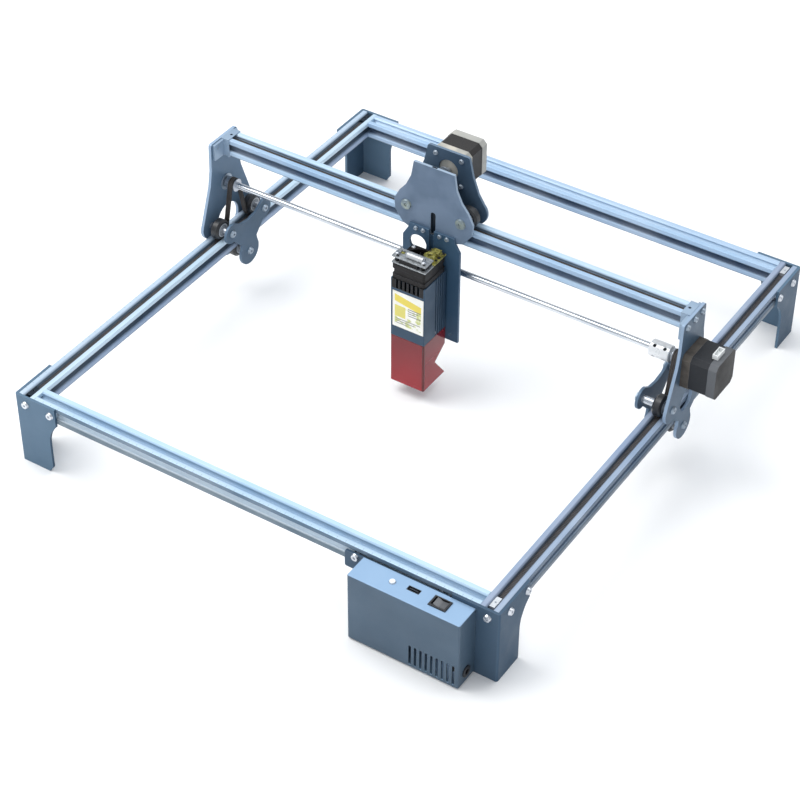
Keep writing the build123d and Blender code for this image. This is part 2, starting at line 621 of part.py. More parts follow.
CONNECTOR_X = OUTER_FACE + 29.5
CONNECTOR_HEIGHT = 5.2
with BuildPart() as y_motor_connector:
    with Locations((CONNECTOR_X, GANTRY_Y - 1, ROD_Z + MOTOR_SIDE / 2)):
        Box(6.4, 15, CONNECTOR_HEIGHT, align=(Align.CENTER, Align.CENTER, Align.MIN))
    with Locations((CONNECTOR_X, GANTRY_Y - 1, ROD_Z + MOTOR_SIDE / 2 + CONNECTOR_HEIGHT)):
        Box(4.4, 12.8, 3.8, align=(Align.CENTER, Align.CENTER, Align.MAX), mode=Mode.SUBTRACT)
save(y_motor_connector.part, "y_motor_connector")

# The rod drives both belts: a pulley over each side rail, and a coupling to the motor's shaft.
ROD_RADIUS = 3.6
MOTOR_SHAFT = 2.5
COUPLING_START = 245.5
COUPLING_END = 268.0
COUPLING_SPLIT = (COUPLING_START + COUPLING_END) / 2
with BuildPart() as drive_rods:
    with BuildSketch(Plane(origin=(-OUTER_FACE - 3.5, GANTRY_Y, ROD_Z), z_dir=(1, 0, 0))):
        Circle(ROD_RADIUS)
    extrude(amount=OUTER_FACE + 3.5 + COUPLING_SPLIT - 0.3)
    with BuildSketch(Plane(origin=(COUPLING_SPLIT + 0.3, GANTRY_Y, ROD_Z), z_dir=(1, 0, 0))):
        Circle(MOTOR_SHAFT)
    extrude(amount=OUTER_FACE + 14 - COUPLING_SPLIT)
save(drive_rods.part, "drive_rods")

SET_SCREW_TILT = 35.0
with BuildPart() as shaft_coupling:
    with BuildSketch(Plane(origin=(COUPLING_START, GANTRY_Y, ROD_Z), z_dir=(1, 0, 0))):
        Circle(9.0)
    extrude(amount=COUPLING_END - COUPLING_START)
    chamfer(shaft_coupling.edges().filter_by(GeomType.CIRCLE), 0.7)
    for start, end, bore in (
        (COUPLING_START, COUPLING_SPLIT, ROD_RADIUS),
        (COUPLING_SPLIT, COUPLING_END, MOTOR_SHAFT),
    ):
        with BuildSketch(Plane(origin=(start, GANTRY_Y, ROD_Z), z_dir=(1, 0, 0))):
            Circle(bore + 0.02)
        extrude(amount=end - start, mode=Mode.SUBTRACT)
    for x in (COUPLING_START + 5.5, COUPLING_END - 5.5):
        for turn in (SET_SCREW_TILT, SET_SCREW_TILT + 90):
            aim = (0, -sin(radians(turn)), cos(radians(turn)))
            with BuildSketch(Plane(origin=(x, GANTRY_Y, ROD_Z), z_dir=aim).offset(6.5)):
                Circle(1.9)
            extrude(amount=4, mode=Mode.SUBTRACT)
save(shaft_coupling.part, "shaft_coupling")

with BuildPart() as drive_pulleys:
    add(pulley((-RAIL_CENTRE, GANTRY_Y, ROD_Z), (-1, 0, 0), ROD_RADIUS + 0.02))
    add(pulley((RAIL_CENTRE, GANTRY_Y, ROD_Z), (1, 0, 0), MOTOR_SHAFT + 0.02))
save(drive_pulleys.part, "drive_pulleys")

with BuildPart() as rod_bearing:
    with BuildSketch(Plane(origin=(-OUTER_FACE - 2.5, GANTRY_Y, ROD_Z), z_dir=(1, 0, 0))):
        Circle(BEARING_RADIUS)
        Circle(ROD_RADIUS + 0.05, mode=Mode.SUBTRACT)
    extrude(amount=7)
    with BuildSketch(Plane(origin=(-OUTER_FACE - 2.5, GANTRY_Y, ROD_Z), z_dir=(1, 0, 0))):
        Circle(BEARING_RADIUS + 1.5)
        Circle(BEARING_RADIUS - 1.0, mode=Mode.SUBTRACT)
    extrude(amount=2.4)
save(rod_bearing.part, "rod_bearing")

# The belts that ride on the gantry: a loop up to each drive pulley, and the carriage's belt, which
# lies in the beam's top slot.
with BuildPart() as gantry_belts:
    for x in (-RAIL_CENTRE, RAIL_CENTRE):
        loop_plane = Plane(origin=(x, GANTRY_Y, 0), x_dir=(0, 1, 0), z_dir=(1, 0, 0))
        add(belt_loop(loop_plane, Y_WHEEL_SPREAD, Y_TOP_AXLE, ROD_Z))
    with Locations((0, BEAM_Y, BEAM_TOP - 5.6)):
        Box(2 * BEAM_HALF_LENGTH - 2, BELT_WIDTH, BELT, align=(Align.CENTER, Align.CENTER, Align.MIN))
save(gantry_belts.part, "gantry_belts")

# ---------------------------------------------------------------- carriage plates
FRONT_PLATE_TOP = 267.5
FRONT_PLATE_BOTTOM = 184.5
SLOT_WIDTH = 6.0
GROOVE_TOP = 212.5
GROOVE_DEPTH = 2.2
EAR_BOLT_HEAD = 6.2
EAR_BOLT_HEIGHT = 1.8
BRACKET_TOP = 191.5
BRACKET_BOTTOM = 58.0
BRACKET_SLOT_BOTTOM = 67.0
STRIP_BOTTOM = 137.0
STRIP = 1.2
BRACKET_SCREWS = ((-19.0, 187.8), (-10.0, 187.8), (10.0, 187.8), (19.0, 187.8))

with BuildPart() as x_plate_front:
    with BuildSketch(Plane(origin=(CARRIAGE_X, FRONT_PLATE_Y, 0), x_dir=(1, 0, 0), z_dir=(0, -1, 0))):
        right = [
            (24.5, FRONT_PLATE_TOP), (27.5, 249), (33.5, 236), (41.5, 226), (48, 213.5), (46.5, 200),
            (37, 187), (30, FRONT_PLATE_BOTTOM),
        ]
        Polygon(*right, *[(-u, v) for u, v in reversed(right)], align=None)
        with Locations((X_WHEEL_SPREAD, X_TOP_AXLE), (-X_WHEEL_SPREAD, X_TOP_AXLE)):
            Circle(AXLE_RADIUS + 0.05, mode=Mode.SUBTRACT)
        with Locations(*BRACKET_SCREWS):
            Circle(1.55, mode=Mode.SUBTRACT)
    extrude(amount=-SHEET)
    rounded = x_plate_front.edges().filter_by(Axis.Y).filter_by(
        lambda edge: abs(abs(edge.center().X - CARRIAGE_X) - 42) < 7 and edge.center().Z < 230
    )
    fillet(rounded, 6.0)
    # the bracket's key slides in a groove that is open at the plate's bottom edge
    with BuildSketch(Plane(origin=(CARRIAGE_X, FRONT_PLATE_Y, 0), x_dir=(1, 0, 0), z_dir=(0, -1, 0))):
        with Locations((0, GROOVE_TOP - SLOT_WIDTH / 2)):
            Circle(SLOT_WIDTH / 2)
        with Locations((0, (GROOVE_TOP - SLOT_WIDTH / 2 + FRONT_PLATE_BOTTOM - 1) / 2)):
            Rectangle(SLOT_WIDTH, GROOVE_TOP - SLOT_WIDTH / 2 - FRONT_PLATE_BOTTOM + 1)
    extrude(amount=-GROOVE_DEPTH, mode=Mode.SUBTRACT)
save(x_plate_front.part, "x_plate_front")

REAR_EAR = 15.0
REAR_LOBE = 14.5
with BuildPart() as x_plate_rear:
    with BuildSketch(Plane(origin=(CARRIAGE_X, REAR_PLATE_Y, 0), x_dir=(1, 0, 0), z_dir=(0, -1, 0))):
        plate_sketch(
            X_WHEEL_SPREAD, X_LOW_AXLE, X_TOP_AXLE, REAR_EAR, REAR_LOBE,
            [(0, 273), (25, 273), (29.5, 252), (37, 232), (46.8, 216.5)],
        )
        axle_holes(X_WHEEL_SPREAD, X_LOW_AXLE, X_TOP_AXLE)
        with Locations((0, X_MOTOR_Z)):
            Circle(MOTOR_BOSS + 0.6, mode=Mode.SUBTRACT)
            with GridLocations(2 * MOTOR_HOLES, 2 * MOTOR_HOLES, 2, 2):
                Circle(1.6, mode=Mode.SUBTRACT)
    extrude(amount=-SHEET)
    fillet(x_plate_rear.edges().filter_by(Axis.Y).group_by(Axis.Z)[-1], 3.0)
save(x_plate_rear.part, "x_plate_rear")

X_TOP_PLACES = (CARRIAGE_X - X_WHEEL_SPREAD, CARRIAGE_X + X_WHEEL_SPREAD)
REAR_FACE = REAR_PLATE_Y + SHEET
with BuildPart() as x_carriage_bolts:
    places = [(x, FRONT_PLATE_Y, X_TOP_AXLE) for x in X_TOP_PLACES]
    add(button_screws(places, (0, -1, 0), AXLE_RADIUS, REAR_FACE - FRONT_PLATE_Y + NUT_HEIGHT + 0.6,
                      EAR_BOLT_HEAD, EAR_BOLT_HEIGHT))
    wheel_front = BEAM_Y - HALF_WHEEL
    add(button_screws([(CARRIAGE_X, wheel_front, X_LOW_AXLE)], (0, -1, 0), AXLE_RADIUS,
                      REAR_FACE - wheel_front + NUT_HEIGHT + 0.6, M5_HEAD, M5_HEAD_HEIGHT))
    for x, z in ((X_TOP_PLACES[0], X_TOP_AXLE), (X_TOP_PLACES[1], X_TOP_AXLE), (CARRIAGE_X, X_LOW_AXLE)):
        with BuildSketch(Plane(origin=(x, REAR_FACE, z), z_dir=(0, 1, 0))):
            RegularPolygon(4.6, 6)
        extrude(amount=NUT_HEIGHT)
    places = [
        (CARRIAGE_X + x_side * MOTOR_HOLES, REAR_PLATE_Y, X_MOTOR_Z + z_side * MOTOR_HOLES)
        for x_side in (-1, 1) for z_side in (-1, 1)
    ]
    add(button_screws(places, (0, -1, 0), 1.5, SHEET + 4, 2.9, 1.8))
    places = [(CARRIAGE_X + u, BRACKET_Y, v) for u, v in BRACKET_SCREWS]
    add(button_screws(places, (0, -1, 0), 1.5, 6.4, 2.6, 1.7))
save(x_carriage_bolts.part, "x_carriage_bolts")

with BuildPart() as x_spacers:
    spans = [(X_TOP_PLACES[0], X_TOP_AXLE), (X_TOP_PLACES[1], X_TOP_AXLE)]
    for x, z in spans:
        with BuildSketch(Plane(origin=(x, FRONT_PLATE_Y + SHEET, z), z_dir=(0, 1, 0))):
            Circle(SPACER_RADIUS)
            Circle(AXLE_RADIUS + 0.05, mode=Mode.SUBTRACT)
        extrude(amount=wheel_front - FRONT_PLATE_Y - SHEET)
    for x, z in spans + [(CARRIAGE_X, X_LOW_AXLE)]:
        with BuildSketch(Plane(origin=(x, REAR_PLATE_Y, z), z_dir=(0, -1, 0))):
            Circle(SPACER_RADIUS)
            Circle(AXLE_RADIUS + 0.05, mode=Mode.SUBTRACT)
        extrude(amount=REAR_PLATE_Y - BEAM_Y - HALF_WHEEL)
save(x_spacers.part, "x_spacers")

for place, x in zip(("left", "right"), X_TOP_PLACES):
    save(v_wheel((x, BEAM_Y, X_TOP_AXLE), (0, 1, 0)), f"x_wheel_{place}")
save(v_wheel((CARRIAGE_X, BEAM_Y, X_LOW_AXLE), (0, 1, 0)), "x_wheel_low")

save(stepper_motor((CARRIAGE_X, REAR_FACE, X_MOTOR_Z), (0, 1, 0)), "x_motor")

# The carriage's pulley on its motor shaft, which ends behind the front plate.
with BuildPart() as x_pulley:
    add(pulley((CARRIAGE_X, BEAM_Y, X_MOTOR_Z), (0, -1, 0), MOTOR_SHAFT + 0.02))
    with BuildSketch(Plane(origin=(CARRIAGE_X, FRONT_PLATE_Y + SHEET + 1.5, X_MOTOR_Z), z_dir=(0, 1, 0))):
        Circle(MOTOR_SHAFT)
    extrude(amount=REAR_FACE + 12 - FRONT_PLATE_Y - SHEET)
save(x_pulley.part, "x_pulley")

x_loop_plane = Plane(origin=(CARRIAGE_X, BEAM_Y, 0), x_dir=(1, 0, 0), z_dir=(0, -1, 0))
save(belt_loop(x_loop_plane, X_WHEEL_SPREAD, X_TOP_AXLE, X_MOTOR_Z), "x_belt_loop")

# ---------------------------------------------------------------- laser bracket
with BuildPart() as laser_bracket:
    with BuildSketch(Plane(origin=(CARRIAGE_X, BRACKET_Y, 0), x_dir=(1, 0, 0), z_dir=(0, -1, 0))):
        right = [(27.5, BRACKET_TOP), (28.5, 186), (35, 175), (35, BRACKET_BOTTOM)]
        Polygon(*right, *[(-u, v) for u, v in reversed(right)], align=None)
        with Locations((0, BRACKET_SLOT_BOTTOM)):
            Circle(SLOT_WIDTH / 2, mode=Mode.SUBTRACT)
        with Locations((0, (BRACKET_SLOT_BOTTOM + BRACKET_TOP + 1) / 2)):
            Rectangle(SLOT_WIDTH, BRACKET_TOP + 1 - BRACKET_SLOT_BOTTOM, mode=Mode.SUBTRACT)
        with Locations((-16.3, 169.5)):
            Circle(10.3, mode=Mode.SUBTRACT)
        with Locations(*BRACKET_SCREWS):
            Circle(1.6, mode=Mode.SUBTRACT)
        with Locations((26, 66), (-26, 66)):
            Circle(1.6, mode=Mode.SUBTRACT)
    extrude(amount=-SHEET)
    # a stiffening strip bridges the slot behind the bracket, above the clamp screw's travel
    with Locations((CARRIAGE_X, BRACKET_Y + SHEET, STRIP_BOTTOM)):
        Box(SLOT_WIDTH + 5, STRIP, FRONT_PLATE_BOTTOM - GAP - STRIP_BOTTOM,
            align=(Align.CENTER, Align.MIN, Align.MIN))
save(laser_bracket.part, "laser_bracket")

# ---------------------------------------------------------------- laser head
HEAD_HEIGHT = HEAD_TOP - HEAD_BOTTOM
FRONT_OUTLET = 11.0
with BuildPart() as heat_sink:
    with Locations((CARRIAGE_X, HEAD_Y, HEAD_BOTTOM)):
        Box(HEAD_SIDE, HEAD_SIDE, HEAD_HEIGHT, align=(Align.CENTER, Align.CENTER, Align.MIN))
    chamfer(heat_sink.edges().filter_by(Axis.Z), 0.8)
    # a pad and a rib on the back run against and in the bracket's slot
    with Locations((CARRIAGE_X, HEAD_BACK, HEAD_BOTTOM + 8)):
        Box(30, BRACKET_Y - GAP - HEAD_BACK, 60, align=(Align.CENTER, Align.MIN, Align.MIN))
        Box(SLOT_WIDTH - 2 * GAP, BRACKET_Y + SHEET - 0.5 - HEAD_BACK, 60,
            align=(Align.CENTER, Align.MIN, Align.MIN))
    # cooling channels down from the fan, open at the front's top, and grooves down both sides
    with Locations((CARRIAGE_X, HEAD_Y, HEAD_TOP)):
        with GridLocations(5.2, 0, 6, 1):
            Box(2.6, 32, 42, align=(Align.CENTER, Align.CENTER, Align.MAX), mode=Mode.SUBTRACT)
            with Locations((0, -HEAD_SIDE / 2, 0)):
                Box(2.6, 12, FRONT_OUTLET, align=(Align.CENTER, Align.CENTER, Align.MAX),
                    mode=Mode.SUBTRACT)
    for side in (-1, 1):
        with Locations((CARRIAGE_X + side * HEAD_SIDE / 2, HEAD_Y + 8, HEAD_BOTTOM)):
            with GridLocations(0, 4.4, 1, 4):
                Box(3.6, 1.6, HEAD_HEIGHT + 1, align=(Align.CENTER, Align.CENTER, Align.MIN),
                    mode=Mode.SUBTRACT)
    with Locations((CARRIAGE_X, HEAD_Y, HEAD_BOTTOM)):
        Cylinder(6.05, 24, align=(Align.CENTER, Align.CENTER, Align.MIN), mode=Mode.SUBTRACT)
    with BuildSketch(Plane(origin=(CARRIAGE_X, HEAD_BACK - 8, KNOB_Z), z_dir=(0, 1, 0))):
        Circle(2.05)
    extrude(amount=20, mode=Mode.SUBTRACT)
save(heat_sink.part, "heat_sink")

# The diode's barrel is pressed up into the heat sink, with the lens nut below it.
with BuildPart() as laser_barrel:
    with Locations((CARRIAGE_X, HEAD_Y, HEAD_BOTTOM)):
        Cylinder(6.0, 22, align=(Align.CENTER, Align.CENTER, Align.MIN))
        Cylinder(8.5, 6, align=(Align.CENTER, Align.CENTER, Align.MAX))
    with Locations((CARRIAGE_X, HEAD_Y, HEAD_BOTTOM - 6)):
        Cylinder(6.0, 7, align=(Align.CENTER, Align.CENTER, Align.MAX))
    with Locations((CARRIAGE_X, HEAD_Y, HEAD_BOTTOM - 13)):
        Cylinder(3.2, 18, align=(Align.CENTER, Align.CENTER, Align.MIN), mode=Mode.SUBTRACT)
save(laser_barrel.part, "laser_barrel")

with BuildPart() as head_label:
    with Locations((CARRIAGE_X + 1, HEAD_FRONT - 0.05, (90.5 + 136.5) / 2)):
        Box(38, 0.45, 46, align=(Align.CENTER, Align.MAX, Align.CENTER))
save(head_label.part, "head_label")

# The fan: a square frame with a round throat and three arms to its motor, and a bladed rotor.
FAN_BOTTOM = HEAD_TOP + 0.2
THROAT = 18.6
with BuildPart() as fan_frame:
    with Locations((CARRIAGE_X, HEAD_Y, FAN_BOTTOM)):
        Box(FAN, FAN, FAN_HEIGHT, align=(Align.CENTER, Align.CENTER, Align.MIN))
    fillet(fan_frame.edges().filter_by(Axis.Z), 2.0)
    with Locations((CARRIAGE_X, HEAD_Y, FAN_BOTTOM)):
        Cylinder(THROAT, FAN_HEIGHT, align=(Align.CENTER, Align.CENTER, Align.MIN),
                 mode=Mode.SUBTRACT)
        with GridLocations(32, 32, 2, 2):
            Cylinder(1.6, FAN_HEIGHT, align=(Align.CENTER, Align.CENTER, Align.MIN),
                     mode=Mode.SUBTRACT)
        Cylinder(10.5, 2.6, align=(Align.CENTER, Align.CENTER, Align.MIN))
        with PolarLocations(THROAT - 3.8, 3, start_angle=30):
            Box(10, 2.4, 2.0, align=(Align.CENTER, Align.CENTER, Align.MIN))
    with BuildSketch(Plane.XY.offset(FAN_BOTTOM + 5.5)):
        with Locations((CARRIAGE_X, HEAD_Y)):
            Rectangle(FAN + 2, FAN + 2)
            RectangleRounded(FAN - 1.6, FAN - 1.6, 3, mode=Mode.SUBTRACT)
    extrude(amount=FAN_HEIGHT - 11, mode=Mode.SUBTRACT)
save(fan_frame.part, "fan_frame")

HUB = 9.8
BLADES = 7
with BuildPart() as fan_rotor:
    with Locations((CARRIAGE_X, HEAD_Y, FAN_BOTTOM + 3.1)):
        Cylinder(HUB, FAN_HEIGHT - 4, align=(Align.CENTER, Align.CENTER, Align.MIN))
    fillet(fan_rotor.edges().group_by(Axis.Z)[-1], 1.0)
    for blade in range(BLADES):
        turn = 360 / BLADES * blade
        reach = (cos(radians(turn)), sin(radians(turn)), 0)
        root = Plane(origin=(CARRIAGE_X, HEAD_Y, FAN_BOTTOM + FAN_HEIGHT / 2 + 1),
                     x_dir=(0, 0, 1), z_dir=reach)
        with BuildSketch(root.offset(HUB - 0.8)):
            Rectangle(13, 1.4, rotation=-32)
        with BuildSketch(root.offset(THROAT - 0.7)):
            Rectangle(12, 1.0, rotation=-44)
        loft()
save(fan_rotor.part, "fan_rotor")

# On the fan: a lower board with its back left corner left open, a short upper board over its front
# edge on posts, and their parts.
BOARD = 1.5
BOARD_SIDE = 41.0
BOARD_LEVEL = FAN_BOTTOM + FAN_HEIGHT + 1.6
UPPER_LEVEL = BOARD_LEVEL + 7.6
UPPER_DEPTH = 16.0
BOARD_X_MID = CARRIAGE_X + 0.5
ON_LEVEL = (Align.CENTER, Align.CENTER, Align.MIN)
with BuildPart() as driver_board:
    with Locations((BOARD_X_MID, HEAD_Y, BOARD_LEVEL)):
        Box(BOARD_SIDE, BOARD_SIDE, BOARD, align=ON_LEVEL)
        with Locations((-9.5, 13, 0)):
            Box(24, 18, BOARD, align=ON_LEVEL, mode=Mode.SUBTRACT)
        with Locations((-2, 2, 0)):
            Cylinder(8, BOARD, align=ON_LEVEL, mode=Mode.SUBTRACT)
    with Locations((BOARD_X_MID, HEAD_Y - (BOARD_SIDE - UPPER_DEPTH) / 2, UPPER_LEVEL)):
        Box(BOARD_SIDE, UPPER_DEPTH, BOARD, align=ON_LEVEL)
        with Locations((-13, 2, 0), (-5, 2, 0)):
            Box(5, 6, BOARD, align=ON_LEVEL, mode=Mode.SUBTRACT)
    with Locations((CARRIAGE_X, HEAD_Y, FAN_BOTTOM + FAN_HEIGHT)):
        with Locations((-16, -16, 0), (16, -16, 0)):
            Cylinder(2.4, UPPER_LEVEL + BOARD + 1.5 - FAN_BOTTOM - FAN_HEIGHT, align=ON_LEVEL)
        with Locations((16, 16, 0)):
            Cylinder(2.4, BOARD_LEVEL + BOARD + 1.5 - FAN_BOTTOM - FAN_HEIGHT, align=ON_LEVEL)
    # header strips join the boards, and a capacitor lies along the upper board's front edge
    with Locations((BOARD_X_MID - 1, HEAD_Y - 18, BOARD_LEVEL + BOARD)):
        Box(22, 3.2, UPPER_LEVEL - BOARD_LEVEL - BOARD, align=ON_LEVEL)
    with Locations((BOARD_X_MID + 17, HEAD_Y - 10, BOARD_LEVEL + BOARD)):
        Box(3.2, 12, UPPER_LEVEL - BOARD_LEVEL - BOARD, align=ON_LEVEL)
    with Locations((BOARD_X_MID + 5, HEAD_Y - 14.5, UPPER_LEVEL + BOARD + 3.0)):
        Cylinder(3.2, 19, rotation=(0, 90, 0))
    # a wound coil and a regulator behind the upper board
    with Locations((BOARD_X_MID + 11, HEAD_Y + 3, BOARD_LEVEL + BOARD)):
        Cylinder(5.6, 5.6, align=ON_LEVEL)
        Cylinder(2.2, 5.6, align=ON_LEVEL, mode=Mode.SUBTRACT)
    with Locations((BOARD_X_MID + 12, HEAD_Y + 14, BOARD_LEVEL + BOARD)):
        Box(9, 8, 4.6, align=ON_LEVEL)
save(driver_board.part, "driver_board")

# The tinted eye shield: a front wall and two side walls with a notch in their back edges, held to
# the head by magnets.
SHIELD_WALL = 2.0
SHIELD_TOP = HEAD_BOTTOM - GAP
SHIELD_NOTCH = [(36, 60), (8.5, 41), (36, 5)]
with BuildPart() as eye_shield:
    with Locations((CARRIAGE_X, HEAD_Y, SHIELD_BOTTOM)):
        Box(HEAD_SIDE, HEAD_SIDE, SHIELD_TOP - SHIELD_BOTTOM, align=ON_LEVEL)
    fillet(eye_shield.edges().filter_by(Axis.Z).group_by(Axis.Y)[0], 1.5)
    with Locations((CARRIAGE_X, HEAD_Y + SHIELD_WALL, SHIELD_BOTTOM)):
        Box(HEAD_SIDE - 2 * SHIELD_WALL, HEAD_SIDE, HEAD_BOTTOM, align=ON_LEVEL, mode=Mode.SUBTRACT)
    with BuildSketch(Plane(origin=(CARRIAGE_X, 0, 0), x_dir=(0, 1, 0), z_dir=(1, 0, 0))):
        Polygon(*SHIELD_NOTCH, align=None)
    extrude(amount=HEAD_SIDE, both=True, mode=Mode.SUBTRACT)
save(eye_shield.part, "eye_shield")

# The thumb screw that clamps the head: through the bracket's slot into the heat sink.
KNOB_FACE = BRACKET_Y + SHEET + GAP
with BuildPart() as clamp_knob:
    with BuildSketch(Plane(origin=(CARRIAGE_X, KNOB_FACE, KNOB_Z), z_dir=(0, 1, 0))):
        Circle(8.0)
        with PolarLocations(8.3, 12):
            Circle(0.9, mode=Mode.SUBTRACT)
    extrude(amount=6.0)
    with BuildSketch(Plane(origin=(CARRIAGE_X, KNOB_FACE, KNOB_Z), z_dir=(0, -1, 0))):
        Circle(2.0)
    extrude(amount=KNOB_FACE - HEAD_BACK + 6)
save(clamp_knob.part, "clamp_knob")
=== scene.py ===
import math
import random

import bmesh
import bpy
from mathutils import Matrix, Vector


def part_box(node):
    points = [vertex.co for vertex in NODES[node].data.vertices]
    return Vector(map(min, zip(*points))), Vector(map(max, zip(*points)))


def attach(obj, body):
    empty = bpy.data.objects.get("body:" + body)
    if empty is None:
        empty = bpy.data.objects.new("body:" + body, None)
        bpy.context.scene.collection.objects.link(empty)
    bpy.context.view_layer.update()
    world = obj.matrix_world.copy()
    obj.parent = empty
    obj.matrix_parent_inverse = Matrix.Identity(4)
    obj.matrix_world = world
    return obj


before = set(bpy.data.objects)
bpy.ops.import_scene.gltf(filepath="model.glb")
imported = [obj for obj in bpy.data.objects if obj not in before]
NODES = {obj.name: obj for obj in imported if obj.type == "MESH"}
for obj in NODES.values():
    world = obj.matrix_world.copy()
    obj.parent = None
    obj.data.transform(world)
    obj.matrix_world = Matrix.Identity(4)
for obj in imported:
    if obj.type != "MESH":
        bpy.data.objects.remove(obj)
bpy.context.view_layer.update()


# ---------------------------------------------------------------- camera and light
def view_axes(azimuth, elevation, roll):
    """The camera's right, up and back directions."""
    a, e, r = (math.radians(angle) for angle in (azimuth, elevation, roll))
    back = Vector((math.sin(a) * math.cos(e), -math.cos(a) * math.cos(e), math.sin(e)))
    right = (-back).cross(Vector((0, 0, 1))).normalized()
    up = right.cross(-back)
    return (
        math.cos(r) * right + math.sin(r) * up,
        -math.sin(r) * right + math.cos(r) * up,
        back,
    )


EYE = Vector((0.99507, -1.58296, 1.56122))
VIEW_ANGLES = (32.849, 40.067, 0.32)
cam_data = bpy.data.cameras.new("view_camera")
cam_data.sensor_width = 36.0
cam_data.lens = 101.59
cam_data.clip_end = 30.0
camera = bpy.data.objects.new("view_camera", cam_data)
bpy.context.scene.collection.objects.link(camera)
turn = Matrix(view_axes(*VIEW_ANGLES)).transposed()
camera.matrix_world = Matrix.Translation(EYE) @ turn.to_4x4()
bpy.context.scene.camera = camera
bpy.context.scene.view_settings.view_transform = "Standard"

world = bpy.data.worlds.new("studio")
world.use_nodes = True
world.node_tree.nodes["Background"].inputs["Color"].default_value = (0.93, 0.96, 1.0, 1)
world.node_tree.nodes["Background"].inputs["Strength"].default_value = 0.62
bpy.context.scene.world = world


def area_light(name, place, aim, size, power, colour):
    """A soft round light at place, turned towards aim."""
    data = bpy.data.lights.new(name, "AREA")
    data.shape = "DISK"
    data.size = size
    data.energy = power
    data.color = colour
    light = bpy.data.objects.new(name, data)
    light.location = place
    light.rotation_euler = (Vector(aim) - Vector(place)).to_track_quat("-Z", "Y").to_euler()
    bpy.context.scene.collection.objects.link(light)


area_light("key_light", (-1.5, -0.6, 2.6), (0, 0, 0), 2.2, 62, (1.0, 0.99, 0.97))
area_light("top_light", (0.3, 0.9, 2.9), (0, 0, 0.1), 2.4, 40, (0.96, 0.98, 1.0))
area_light("fill_light", (0.6, -2.6, 1.3), (0, 0, 0.1), 2.0, 13, (0.97, 0.98, 1.0))


# ---------------------------------------------------------------- material tools
def rgb(code):
    """A colour written as six hex digits, as linear RGBA."""
    parts = [int(code[i:i + 2], 16) / 255 for i in (0, 2, 4)]
    linear = [c / 12.92 if c <= 0.04045 else ((c + 0.055) / 1.055) ** 2.4 for c in parts]
    return (*linear, 1.0)


